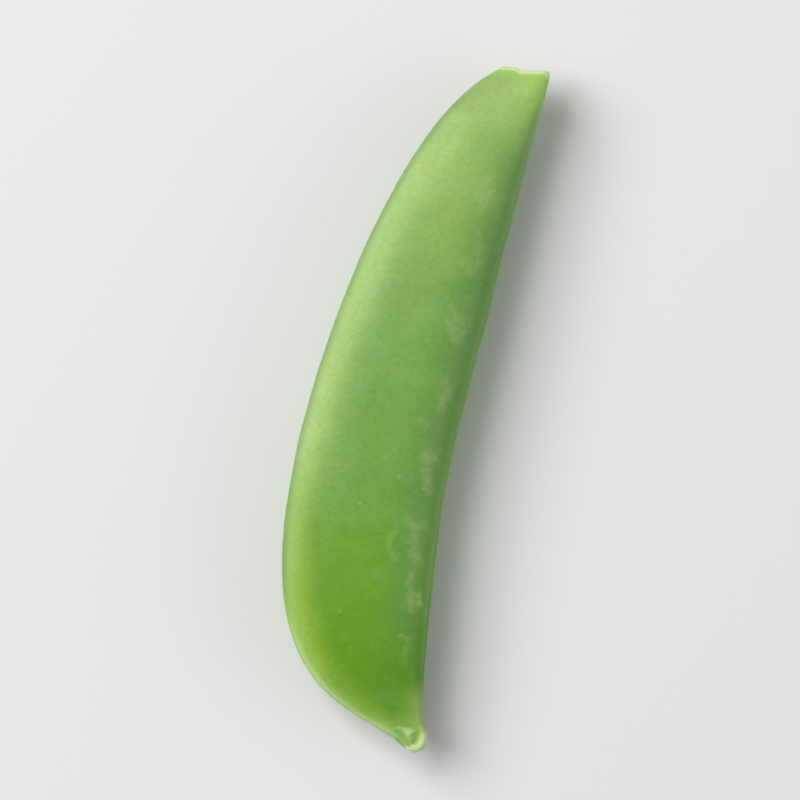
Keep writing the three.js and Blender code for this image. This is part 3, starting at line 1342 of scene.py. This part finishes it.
    def bump(self, height: Socket, grit: Grit, under: Socket | None = None) -> Socket:
        """A normal from a height of 0 to 1 that stands for the grit's depth, over another normal.

        Args:
            height: the height.
            grit: the relief's depth and strength.
            under: the normal under it, or None for the mesh's own.

        Returns:
            The normal's socket.
        """
        node = self.tree.nodes.new("ShaderNodeBump")
        node.inputs["Strength"].default_value = grit.strength
        node.inputs["Distance"].default_value = grit.depth
        self._put(node.inputs["Height"], height)
        if under is not None:
            self._put(node.inputs["Normal"], under)
        return node.outputs["Normal"]


@dataclass(frozen=True)
class SkinFinish:
    """Fresh pod skin: green under a thin wax, paler along its edges and towards both ends.

    The stops run from the cut neck (0) to the beak (1), and so do the fades named along, narrowing and
    widening.
    """

    # The greens of the face, of the back's pale band and shoulder with a painted highlight, and of the
    # seam's side.
    face: Stops = (
        (0.03, Colour(148, 184, 102)),
        (0.12, Colour(149, 188, 98)),
        (0.2, Colour(138, 178, 84)),
        (0.36, Colour(120, 166, 75)),
        (0.6, Colour(113, 160, 64)),
        (0.74, Colour(106, 157, 38)),
        (0.88, Colour(96, 153, 22)),
        (0.93, Colour(107, 160, 43)),
        (0.95, Colour(109, 163, 54)),
        (0.98, Colour(113, 162, 60)),
    )
    # Paler green along the back, with a painted highlight laid in.
    band: Stops = (
        (0.03, Colour(149, 183, 100)),
        (0.1, Colour(160, 195, 116)),
        (0.2, Colour(167, 201, 122)),
        (0.55, Colour(170, 203, 122)),
        (0.72, Colour(158, 196, 101)),
        (0.86, Colour(156, 197, 85)),
        (0.95, Colour(158, 200, 90)),
        (0.985, Colour(146, 188, 94)),
    )
    # The band's softer shoulder: a painted highlight over a paler green.
    shoulder: Stops = (
        (0.03, Colour(149, 183, 94)),
        (0.15, Colour(160, 194, 100)),
        (0.3, Colour(174, 208, 128)),
        (0.55, Colour(170, 204, 108)),
        (0.72, Colour(166, 202, 94)),
        (0.86, Colour(160, 197, 58)),
        (0.95, Colour(148, 191, 50)),
    )
    # Seam side: deeper green, painted shade at 0.13 to 0.3 along, painted light at the neck.
    seam_side_light_and_shade: Stops = (
        (0.0, Colour(166, 206, 110)),
        (0.05, Colour(149, 187, 102)),
        (0.13, Colour(118, 164, 81)),
        (0.3, Colour(106, 155, 77)),
        (0.52, Colour(107, 156, 80)),
        (0.72, Colour(108, 160, 86)),
        (0.8, Colour(103, 157, 70)),
        (0.87, Colour(94, 149, 37)),
        (0.93, Colour(102, 152, 50)),
        (0.95, Colour(118, 164, 80)),
        (0.97, Colour(121, 161, 88)),
    )
    drift: Cloud = Cloud(9 * MM)
    drift_along: float = 0.14
    drift_across: float = 1.2 * MM
    seam_side_patch: Patch = ((Field.TO_SEAM, Fade(11 * MM, 3 * MM)),)
    band_narrowing: tuple[Fade, ...] = (Fade(0.5, 0.86, 1, 1.3), Fade(0.88, 0.965, 1, 1.3))
    band_edge: Fade = Fade(6.2 * MM, 2.4 * MM)
    shoulder_widening: Fade = Fade(0.68, 0.8, 1, 0.84)
    shoulder_edge: Fade = Fade(7.6 * MM, 4 * MM, 0, 0.45)

    # The flank by the seam: warm in the body with a little painted light, painted light at the neck, deep
    # before the beak.
    flank: Tint = Tint(1.03, 1.05, 0.5)
    flank_patch: Patch = ((Field.TO_SEAM, Fade(6.2 * MM, 3 * MM)),)
    flank_along: Fade = Fade(0.1, 0.75, 0.15, 1)
    neck_flank_light: Tint = Tint(1.2, 1.3, 1.06)
    neck_light_patch: Patch = ((Field.ALONG, Fade(0.08, 0.04)), (Field.TO_SEAM, Fade(2.8 * MM, 1.2 * MM)))
    deep_flank: Tint = Tint(0.92, 1.0, 0.74)
    deep_patch: Patch = (
        (Field.ALONG, Fade(0.78, 0.83)),
        (Field.ALONG, Fade(0.895, 0.87)),
        (Field.TO_SEAM, Fade(4 * MM, 1.5 * MM)),
    )

    # The mottling: clouds, bloom, ripe spots, veins, grain, pores and specks, and painted shade between
    # peas.
    clouds: Cloud = Cloud(3.2 * MM, 3, 0.55, turn=0.1, stretch=(1, 0.4, 0.6))
    yellow: Film = Film(Tint(1.03, 1.01, 0.955), Fade(0.5, 0.7))
    blue: Film = Film(Tint(0.968, 0.992, 1.01), Fade(0.5, 0.3))
    bloom_clouds: Cloud = Cloud(5 * MM, 4, 0.6, turn=0.4, stretch=(1, 0.7, 0.8))
    bloom: Film = Film(Tint(1.05, 1.02, 1.1), Fade(0.48, 0.66))
    ripe: Tint = Tint(1.3, 1.02, 0.85)
    ripe_clouds: Cloud = Cloud(2.4 * MM)
    ripe_spots: Fade = Fade(0.5, 0.68)
    ripe_patch: Patch = (
        (Field.ALONG, Fade(0.76, 0.84)),
        (Field.ALONG, Fade(0.93, 0.88)),
        (Field.TO_BACK, Fade(3 * MM, 5 * MM)),
        (Field.TO_BACK, Fade(9 * MM, 6 * MM)),
    )
    body_lean: float = 0.2
    tip_lean: float = 0.95
    lean_along: Fade = Fade(0.68, 0.86)
    vein: Tint = Tint(1.045, 1.028, 1.06)
    veins: Cloud = Cloud(1.15 * MM, 1, stretch=(1, 0.42, 0.6))
    vein_width: Fade = Fade(0.15, 0.0)
    vein_clouds: Cloud = Cloud(4 * MM, 1)
    vein_gaps: Fade = Fade(0.4, 0.65)
    grain: Cloud = Cloud(0.46 * MM, 1, stretch=(1, 0.72, 0.85))
    light_grain: Film = Film(Tint(1.09, 1.05, 1.1), Fade(0.45, 0.75))
    dark_grain: Film = Film(Tint(0.925, 0.958, 0.935), Fade(0.5, 0.25))
    pore: Tint = Tint(1.07, 1.05, 1.1)
    pore_spacing: float = 0.42 * MM
    pore_edge: Fade = Fade(0.3, 0.05)
    speck: Colour = Colour(160, 194, 116)
    speck_spacing: float = 4.5 * MM
    speck_edge: Fade = Fade(0.09, 0.0, 0, 0.4)
    # Painted shade in the hollows between the peas.
    hollow: Tint = Tint(0.93, 0.94, 0.99)

    # The lines along both edges: painted shade along the back edge, and the seam with painted shade in its
    # groove.
    # Painted shade along the back edge: darker and greener.
    outer_shade_line: Tint = Tint(0.66, 0.74, 0.66)
    outer_shade_patch: Patch = (
        (Field.TO_BACK, Fade(2.6 * MM, 0.6 * MM)),
        (Field.ALONG, Fade(0.76, 0.87, 1, 0)),
        (Field.ALONG, Fade(0.01, 0.1)),
    )
    seam_line: Colour = Colour(150, 188, 106)
    seam_patch: Patch = (
        (Field.TO_SEAM, Fade(1.1 * MM, 0.3 * MM)),
        (Field.ALONG, Fade(0.62, 0.82, 1, 0.12)),
    )
    seam_clouds: Cloud = Cloud(1.1 * MM, 3)
    seam_gaps: Fade = Fade(0.3, 0.6, 0.4, 0.75)
    # Painted shade in the seam's groove.
    groove: Colour = Colour(92, 132, 56)
    groove_shade_patch: Patch = ((Field.TO_SEAM, Fade(0.14 * MM, 0.04 * MM, 0, 0.6)),)

    # The rubbed spots and the nicks.
    rubbed: Colour = Colour(168, 194, 122)
    rubbed_share: float = 0.5
    rubbed_clouds: Cloud = Cloud(1.3 * MM)
    rubbed_ragged: float = 1.2
    rubbed_edge: Fade = Fade(0.0, 0.95)
    streaks: Cloud = Cloud(0.6 * MM, turn=0.35, stretch=(1, 0.45, 1))
    streak_edge: Fade = Fade(0.3, 0.65, 0.5, 1)
    dot: Tint = Tint(0.88, 0.92, 0.9)
    dots: Cloud = Cloud(0.6 * MM, 1)
    dot_edge: Fade = Fade(0.55, 0.7)
    nick: Colour = Colour(160, 206, 104)

    # The rim of the cut, measured from its frayed edge.
    fray: Cloud = Cloud(0.5 * MM)
    fray_depth: float = 0.2 * MM
    fresh: Colour = Colour(166, 210, 96)
    fresh_edge: Fade = Fade(1.4 * MM, 0.3 * MM, 0, 0.6)
    rim: Colour = Colour(208, 228, 172)
    rim_edge: Fade = Fade(0.3 * MM, 0.04 * MM, 0, 0.85)
    strand: Colour = Colour(208, 250, 150)
    strand_patch: Patch = ((Field.TO_SEAM, Fade(2.1 * MM, 1.3 * MM)),)
    strand_edge: Fade = Fade(0.65 * MM, 0.2 * MM, 0, 0.9)

    # The beak.
    # Pale back edge near the beak, brightened as a painted highlight.
    back_hem_highlight: Colour = Colour(214, 250, 162)
    seam_hem: Colour = Colour(170, 204, 114)
    seam_hem_patch: Patch = ((Field.TO_BACK, Fade(2 * MM, 3 * MM)),)
    hem_share: float = 0.85
    lip: Colour = Colour(212, 234, 170)
    cream: Colour = Colour(208, 228, 164)
    dry: Colour = Colour(150, 152, 88)
    dry_share: float = 0.85

    # The gloss and the fine relief.
    wax: Cloud = Cloud(2.2 * MM, 3)
    wax_roughness: Fade = Fade(0.25, 0.75, 0.42, 0.54)
    rubbed_roughness: float = 0.14
    cell_spacing: float = 0.16 * MM
    cell_grit: Grit = Grit(0.006 * MM, 0.6)
    pore_grit: Grit = Grit(0.006 * MM, 0.6)
    vein_grit: Grit = Grit(0.014 * MM, 0.7)
    dimples: Cloud = Cloud(1.6 * MM, 3)
    dimple_grit: Grit = Grit(0.04 * MM, 0.6)

    def material(self) -> bpy.types.Material:
        """Builds the skin's material.

        Returns:
            The material, for the faces of Tissue.SKIN.
        """
        shader = Shader("pod_skin")
        place = shader.place()
        along, to_back = self._drifted(shader, place)
        colour = self._greens(shader, along)
        colour = self._flanks(shader, along, colour)
        colour = self._back_band_and_highlight(shader, along, to_back, colour)
        colour = self._mottling(shader, place, colour)
        colour = self._edge_lines(shader, place, colour)
        colour = self._scuffs(shader, place, colour)
        colour = self._cut_rim(shader, place, colour)
        colour = self._beak(shader, colour)
        shader.feed("Base Color", colour)
        shader.feed("Roughness", self._roughness(shader, place))
        shader.feed("Normal", self._relief(shader, place))
        shader.set(
            Specular_IOR_Level=0.245,
            Subsurface_Weight=0.15,
            Subsurface_Radius=(0.8, 1.0, 0.35),
            Subsurface_Scale=1.2 * MM,
            Coat_Weight=0.03,
            Coat_Roughness=0.3,
            Sheen_Weight=0.02,
            Sheen_Roughness=0.4,
        )
        return shader.material

    def _drifted(self, shader: Shader, place: Socket) -> tuple[Socket, Socket]:
        """How far along the pod and how far from the back a point seems, with a slow drift in both.

        Args:
            shader: the material's node tree.
            place: the point's own place on the pod.

        Returns:
            The place along, from 0 to 1, and the distance from the back edge, in metres.
        """
        off = shader.minus(shader.noise(place, self.drift), 0.5)
        along = shader.plus(shader.field(Field.ALONG), shader.times(off, self.drift_along))
        to_back = shader.plus(shader.field(Field.TO_BACK), shader.times(off, self.drift_across))
        return along, to_back

    def _greens(self, shader: Shader, along: Socket) -> Socket:
        """The greens of the face and of the seam's side, each along the pod.

        Args:
            shader: the material's node tree.
            along: how far along the pod the point seems, from the cut (0) to the beak (1).

        Returns:
            The colour.
        """
        face = shader.blend(along, self.face)
        # The seam's side, with its painted shade and painted light.
        seam_side_light_and_shade = shader.blend(along, self.seam_side_light_and_shade)
        return shader.mix(shader.patch(self.seam_side_patch), face, seam_side_light_and_shade)

    def _flanks(self, shader: Shader, along: Socket, colour: Socket) -> Socket:
        """The flank beside the seam, in its three parts, two with painted light.

        Args:
            shader: the material's node tree.
            along: how far along the pod the point seems, from the cut (0) to the beak (1).
            colour: the colour under this layer.

        Returns:
            The colour.
        """
        flank = shader.times(shader.patch(self.flank_patch), shader.ramp(along, self.flank_along))
        # Warmer beside the seam, and a little lighter as painted light.
        colour = shader.tint(flank, colour, self.flank)
        # Painted light on the seam's side at the neck.
        colour = shader.tint(shader.patch(self.neck_light_patch), colour, self.neck_flank_light)
        return shader.tint(shader.patch(self.deep_patch), colour, self.deep_flank)

    def _back_band_and_highlight(self, shader: Shader, along: Socket, to_back: Socket, colour: Socket) -> Socket:
        """The back's pale band, narrower near the beak, and its softer shoulder, with a painted highlight.

        Args:
            shader: the material's node tree.
            along: how far along the pod the point seems, from the cut (0) to the beak (1).
            to_back: how far from the back edge the point seems, in metres.
            colour: the colour under this layer.

        Returns:
            The colour.
        """
        narrowed = shader.times(to_back, *(shader.ramp(along, fade) for fade in self.band_narrowing))
        widened = shader.times(narrowed, shader.ramp(along, self.shoulder_widening))
        shoulder = shader.blend(along, self.shoulder)
        # Painted highlight along the back, over the back's paler green.
        colour = shader.mix(shader.ramp(widened, self.shoulder_edge), colour, shoulder)
        return shader.mix(shader.ramp(narrowed, self.band_edge), colour, shader.blend(along, self.band))

    def _mottling(self, shader: Shader, place: Socket, colour: Socket) -> Socket:
        """Clouds of yellower and bluer green, waxy bloom, faint veins, fine grain, pale specks, painted
        shade between peas.

        Args:
            shader: the material's node tree.
            place: the point's own place on the pod.
            colour: the colour under this layer.

        Returns:
            The colour.
        """
        clouds = shader.noise(place, self.clouds)
        colour = shader.lay(self.yellow, clouds, colour)
        colour = shader.lay(self.blue, clouds, colour)
        colour = shader.lay(self.bloom, shader.noise(place, self.bloom_clouds), colour)
        colour = shader.tint(self._ripe_spots(shader, place), colour, self.ripe)
        colour = shader.tint(self._veins(shader, place), colour, self.vein)
        grain = self._leaning(shader, place, self.grain)
        colour = shader.lay(self.light_grain, grain, colour)
        colour = shader.lay(self.dark_grain, grain, colour)
        colour = shader.tint(self._pores(shader, place), colour, self.pore)
        specks = shader.ramp(shader.cells(place, self.speck_spacing), self.speck_edge)
        colour = shader.mix(specks, colour, self.speck)
        # Painted shade in the hollows between the peas.
        return shader.tint(shader.field(Field.HOLLOW), colour, self.hollow)

    def _ripe_spots(self, shader: Shader, place: Socket) -> Socket:
        """Olive blotches inside the back's band, where the pod has begun to ripen."""
        spots = shader.ramp(shader.noise(place, self.ripe_clouds), self.ripe_spots)
        return shader.times(shader.patch(self.ripe_patch), spots)

    def _leaning(self, shader: Shader, place: Socket, cloud: Cloud) -> Socket:
        """Noise drawn out the way the veins run: across the body, and leaning more towards the beak.

        Args:
            shader: the material's node tree.
            place: the point's own place on the pod.
            cloud: the noise, whose own turn isn't used.

        Returns:
            The noise's socket.
        """
        share = shader.ramp(shader.field(Field.ALONG), self.lean_along)
        body = shader.noise(place, replace(cloud, turn=self.body_lean))
        tip = shader.noise(place, replace(cloud, turn=self.tip_lean))
        return shader.plus(body, shader.times(share, shader.minus(tip, body)))

    def _veins(self, shader: Shader, place: Socket) -> Socket:
        """Faint veins that run slantwise from the seam towards the back.

        Args:
            shader: the material's node tree.
            place: the point's own place on the pod.

        Returns:
            0 between the veins to 1 on one.
        """
        away = shader.unsigned(shader.minus(self._leaning(shader, place, self.veins), 0.5))
        gaps = shader.ramp(shader.noise(place, self.vein_clouds), self.vein_gaps)
        return shader.times(shader.ramp(away, self.vein_width), gaps)

    def _pores(self, shader: Shader, place: Socket) -> Socket:
        """Pale pores, close together."""
        return shader.ramp(shader.cells(place, self.pore_spacing), self.pore_edge)

    def _edge_lines(self, shader: Shader, place: Socket, colour: Socket) -> Socket:
        """Painted shade, greener, outside the back's band, and the paler seam with painted shade in its
        groove.

        Args:
            shader: the material's node tree.
            place: the point's own place on the pod.
            colour: the colour under this layer.

        Returns:
            The colour.
        """
        # Painted shade along the back edge.
        colour = shader.tint(shader.patch(self.outer_shade_patch), colour, self.outer_shade_line)
        gaps = shader.ramp(shader.noise(place, self.seam_clouds), self.seam_gaps)
        colour = shader.mix(shader.times(shader.patch(self.seam_patch), gaps), colour, self.seam_line)
        # Painted shade in the seam's groove.
        return shader.mix(shader.patch(self.groove_shade_patch), colour, self.groove)

    def _scuffs(self, shader: Shader, place: Socket, colour: Socket) -> Socket:
        """Dull rubbed spots with soft ragged edges, faint streaks and darker dots.

        Args:
            shader: the material's node tree.
            place: the point's own place on the pod.
            colour: the colour under this layer.

        Returns:
            The colour.
        """
        ragged = shader.times(shader.minus(shader.noise(place, self.rubbed_clouds), 0.5), self.rubbed_ragged)
        spot = shader.ramp(shader.plus(shader.field(Field.SCUFF), ragged), self.rubbed_edge)
        rubbed = shader.times(spot, shader.ramp(shader.noise(place, self.streaks), self.streak_edge))
        colour = shader.mix(shader.times(rubbed, self.rubbed_share), colour, self.rubbed)
        dots = shader.ramp(shader.noise(place, self.dots), self.dot_edge)
        colour = shader.tint(shader.times(dots, rubbed), colour, self.dot)
        return shader.mix(shader.field(Field.NICK), colour, self.nick)

    def _cut_rim(self, shader: Shader, place: Socket, colour: Socket) -> Socket:
        """The fresh skin and the pale rim at the cut, with the bared end of the seam's strand.

        Args:
            shader: the material's node tree.
            place: the point's own place on the pod.
            colour: the colour under this layer.

        Returns:
            The colour.
        """
        fray = shader.times(shader.noise(place, self.fray), self.fray_depth)
        to_cut = shader.minus(shader.field(Field.TO_CUT), fray)
        colour = shader.mix(shader.ramp(to_cut, self.fresh_edge), colour, self.fresh)
        colour = shader.mix(shader.ramp(to_cut, self.rim_edge), colour, self.rim)
        strand = shader.times(shader.patch(self.strand_patch), shader.ramp(to_cut, self.strand_edge))
        return shader.mix(strand, colour, self.strand)

    def _beak(self, shader: Shader, colour: Socket) -> Socket:
        """The pale hems into the beak, the back's partly a painted highlight, its collar, cream knob and dry
        crack.

        Args:
            shader: the material's node tree.
            colour: the colour under this layer.

        Returns:
            The colour.
        """
        # The back's hem is partly a painted highlight.
        hem = shader.mix(shader.patch(self.seam_hem_patch), self.back_hem_highlight, self.seam_hem)
        colour = shader.mix(shader.times(shader.field(Field.HEM), self.hem_share), colour, hem)
        colour = shader.mix(shader.field(Field.LIP), colour, self.lip)
        colour = shader.mix(shader.field(Field.CREAM), colour, self.cream)
        return shader.mix(shader.times(shader.field(Field.DRY), self.dry_share), colour, self.dry)

    def _roughness(self, shader: Shader, place: Socket) -> Socket:
        """Satin wax, dull where it is rubbed."""
        wax = shader.ramp(shader.noise(place, self.wax), self.wax_roughness)
        return shader.plus(wax, shader.times(shader.field(Field.SCUFF), self.rubbed_roughness))

    def _relief(self, shader: Shader, place: Socket) -> Socket:
        """Skin cells, pores, veins and soft dimples.

        Args:
            shader: the material's node tree.
            place: the point's own place on the pod.

        Returns:
            The normal's socket.
        """
        normal = shader.bump(shader.cells(place, self.cell_spacing), self.cell_grit)
        normal = shader.bump(self._pores(shader, place), self.pore_grit, normal)
        normal = shader.bump(self._veins(shader, place), self.vein_grit, normal)
        return shader.bump(shader.noise(place, self.dimples), self.dimple_grit, normal)


@dataclass(frozen=True)
class FleshFinish:
    """The pod's cut flesh: moist and pale, greener under the skin, with painted shade down the slit."""

    wall: Colour = Colour(204, 228, 166)
    pale: Colour = Colour(226, 240, 196)
    fibres: Cloud = Cloud(0.4 * MM, 3, 0.6)
    fibre_edge: Fade = Fade(0.4, 0.65)
    fibre_roughness: Fade = Fade(0.3, 0.7, 0.35, 0.5)
    green: Colour = Colour(186, 218, 118)
    green_patch: Patch = ((Field.TO_BACK, Fade(2.6 * MM, 1.8 * MM, 0, 0.7)),)
    strand: Colour = Colour(242, 252, 208)
    strand_patch: Patch = ((Field.TO_SEAM, Fade(2.3 * MM, 1.3 * MM, 0, 0.7)),)
    # Painted shade down the slit.
    slit_shade: Colour = Colour(150, 184, 96)
    slit_shade_patch: Patch = ((Field.DEPTH, Fade(0.0, 0.4, 0, 0.8)),)
    pore_spacing: float = 0.22 * MM
    pore_grit: Grit = Grit(0.03 * MM, 0.7)

    def material(self) -> bpy.types.Material:
        """Builds the flesh's material.

        Returns:
            The material, for the faces of Tissue.FLESH.
        """
        shader = Shader("pod_flesh")
        place = shader.place()
        fibres = shader.noise(place, self.fibres)
        colour = shader.mix(shader.ramp(fibres, self.fibre_edge), self.wall, self.pale)
        colour = shader.mix(shader.patch(self.green_patch), colour, self.green)
        colour = shader.mix(shader.patch(self.strand_patch), colour, self.strand)
        # Painted shade down the slit.
        colour = shader.mix(shader.patch(self.slit_shade_patch), colour, self.slit_shade)
        shader.feed("Base Color", colour)
        shader.feed("Roughness", shader.ramp(fibres, self.fibre_roughness))
        shader.feed("Normal", shader.bump(shader.cells(place, self.pore_spacing), self.pore_grit))
        shader.set(
            Subsurface_Weight=0.2,
            Subsurface_Radius=(0.8, 1.0, 0.5),
            Subsurface_Scale=0.8 * MM,
        )
        return shader.material


def backdrop_rays(tree: bpy.types.NodeTree) -> Socket:
    """1 for the rays that see the plain backdrop: the camera's, mirrored ones and those through glass.

    Args:
        tree: the node tree of the floor or the world.

    Returns:
        0 or 1, by the kind of ray.
    """
    path = tree.nodes.new("ShaderNodeLightPath")
    share = path.outputs["Is Camera Ray"]
    for name in ("Is Glossy Ray", "Is Transmission Ray"):
        either = tree.nodes.new("ShaderNodeMath")
        either.operation = "MAXIMUM"
        tree.links.new(share, either.inputs[0])
        tree.links.new(path.outputs[name], either.inputs[1])
        share = either.outputs[0]
    return share


@dataclass(frozen=True)
class FloorFinish:
    """A plain pale studio floor, which keeps the pod's shadow and turns to plain white further out."""

    shown: float = 0.88
    bounced: float = 0.5
    backdrop: float = 0.92
    lit_radius: float = 0.25
    plain_radius: float = 0.7

    def material(self) -> bpy.types.Material:
        """Builds the floor's material.

        Returns:
            The material.
        """
        shader = Shader("studio_floor")
        tree = shader.tree
        distance = tree.nodes.new("ShaderNodeVectorMath")
        distance.operation = "LENGTH"
        tree.links.new(shader.place(), distance.inputs[0])
        far = shader.ramp(distance.outputs["Value"], Fade(self.lit_radius, self.plain_radius))
        plain = tree.nodes.new("ShaderNodeEmission")
        plain.inputs["Color"].default_value = (self.backdrop, self.backdrop, self.backdrop, 1)
        seen = self._mixed(tree, far, self._diffuse(tree, self.shown), plain.outputs[0])
        either = self._mixed(tree, backdrop_rays(tree), self._diffuse(tree, self.bounced), seen)
        tree.links.new(either, tree.nodes["Material Output"].inputs["Surface"])
        tree.nodes.remove(shader.surface)
        return shader.material

    @staticmethod
    def _diffuse(tree: bpy.types.NodeTree, value: float) -> Socket:
        """A plain grey surface.

        Args:
            tree: the floor's node tree.
            value: how light the grey is, from 0 to 1.

        Returns:
            The surface's socket.
        """
        node = tree.nodes.new("ShaderNodeBsdfDiffuse")
        node.inputs["Color"].default_value = (value, value, value, 1)
        return node.outputs[0]

    @staticmethod
    def _mixed(tree: bpy.types.NodeTree, share: Socket, first: Socket, second: Socket) -> Socket:
        """Two surfaces mixed, with a share of the second.

        Args:
            tree: the floor's node tree.
            share: 0 for the first surface to 1 for the second.
            first: the first surface.
            second: the second surface.

        Returns:
            The mixed surface's socket.
        """
        node = tree.nodes.new("ShaderNodeMixShader")
        for entry, socket in zip(node.inputs, (share, first, second)):
            tree.links.new(socket, entry)
        return node.outputs[0]


# ---------------------------------------------------------------------------------------------------
# Studio
# ---------------------------------------------------------------------------------------------------


@dataclass(frozen=True)
class Softbox:
    """A square lamp that looks at the pod, placed by the view's up and right and by its height."""

    name: str
    up: float
    right: float
    height: float
    side: float
    power: float

    def build(self, up: Vector, right: Vector) -> None:
        """Puts the lamp in the scene and turns it to the pod.

        Args:
            up: the way that the view's top points.
            right: the way that its right side points.
        """
        place = up * self.up + right * self.right + Vector((0, 0, self.height))
        data = bpy.data.lights.new(self.name, "AREA")
        data.size = self.side
        data.energy = self.power
        lamp = bpy.data.objects.new(self.name, data)
        lamp.location = place
        lamp.rotation_euler = (-place).to_track_quat("-Z", "Y").to_euler()
        bpy.context.scene.collection.objects.link(lamp)


@dataclass(frozen=True)
class Studio:
    """The pale floor, the lamps, the world and the camera over the pod."""

    lean: float = math.radians(9.43)
    view_height: float = 0.7
    framed: float = 91 * MM
    sensor: float = 36.0
    floor_side: float = 8.0
    world_strength: float = 0.335
    backdrop: float = 0.92
    clip_start: float = 0.05
    lamps: tuple[Softbox, ...] = (
        Softbox("key", up=0.35, right=-0.55, height=0.75, side=0.75, power=8.7),
        Softbox("fill", up=-0.15, right=1.0, height=0.45, side=0.8, power=2.5),
    )

    def up(self) -> Vector:
        """The way that the view's top points: the pod's chord leans from it."""
        return Vector((math.cos(self.lean), math.sin(self.lean), 0))

    def right(self) -> Vector:
        """The way that the view's right side points."""
        return Vector((math.sin(self.lean), -math.cos(self.lean), 0))

    def build(self, low: Vector, high: Vector) -> None:
        """Makes the floor, the lamps, the world and the camera.

        Args:
            low: lowest corner of the pod's box.
            high: highest corner of the pod's box.
        """
        self._floor()
        for lamp in self.lamps:
            lamp.build(self.up(), self.right())
        self._world()
        self._camera((low + high) / 2)
        bpy.context.scene.view_settings.view_transform = "Standard"

    def _floor(self) -> None:
        """A wide level floor that the pod rests on."""
        half = self.floor_side / 2
        mesh = bpy.data.meshes.new("floor")
        corners = [(-half, -half, 0), (half, -half, 0), (half, half, 0), (-half, half, 0)]
        mesh.from_pydata(corners, [], [(0, 1, 2, 3)])
        mesh.materials.append(FloorFinish().material())
        floor = bpy.data.objects.new("floor", mesh)
        bpy.context.scene.collection.objects.link(floor)

    def _world(self) -> None:
        """An even, faint light from all round, shown as white."""
        world = bpy.data.worlds.new("studio")
        world.use_nodes = True
        tree = world.node_tree
        tree.nodes.clear()
        light = tree.nodes.new("ShaderNodeBackground")
        light.inputs["Strength"].default_value = self.world_strength
        shown = tree.nodes.new("ShaderNodeBackground")
        shown.inputs["Color"].default_value = (self.backdrop, self.backdrop, self.backdrop, 1)
        mix = tree.nodes.new("ShaderNodeMixShader")
        output = tree.nodes.new("ShaderNodeOutputWorld")
        tree.links.new(backdrop_rays(tree), mix.inputs[0])
        tree.links.new(light.outputs[0], mix.inputs[1])
        tree.links.new(shown.outputs[0], mix.inputs[2])
        tree.links.new(mix.outputs[0], output.inputs["Surface"])
        bpy.context.scene.world = world

    def _camera(self, centre: Vector) -> None:
        """A long lens straight above the pod.

        Args:
            centre: the middle of the pod's box.
        """
        data = bpy.data.cameras.new("camera")
        data.sensor_width = self.sensor
        data.lens = self.sensor * self.view_height / self.framed
        data.clip_start = self.clip_start
        camera = bpy.data.objects.new("camera", data)
        turn = Matrix((self.right(), self.up(), Vector((0, 0, 1)))).transposed()
        camera.matrix_world = Matrix.Translation(centre + Vector((0, 0, self.view_height))) @ turn.to_4x4()
        bpy.context.scene.collection.objects.link(camera)
        bpy.context.scene.camera = camera


def main() -> None:
    """Builds the pod and the studio."""
    logging.basicConfig(level=logging.INFO, format="%(name)s: %(message)s")
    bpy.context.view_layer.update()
    low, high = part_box(NODE)
    pod_builder = PeaPod(low, high)
    pod = pod_builder.build()
    pod_builder.dress(pod, SkinFinish().material(), FleshFinish().material())
    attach(pod, BODY)
    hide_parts(NODE)
    log.info("pod: %d faces", len(pod.data.polygons))
    Studio().build(low, high)
    log.info("studio: floor, lamps and camera")


if __name__ == "__main__":
    main()
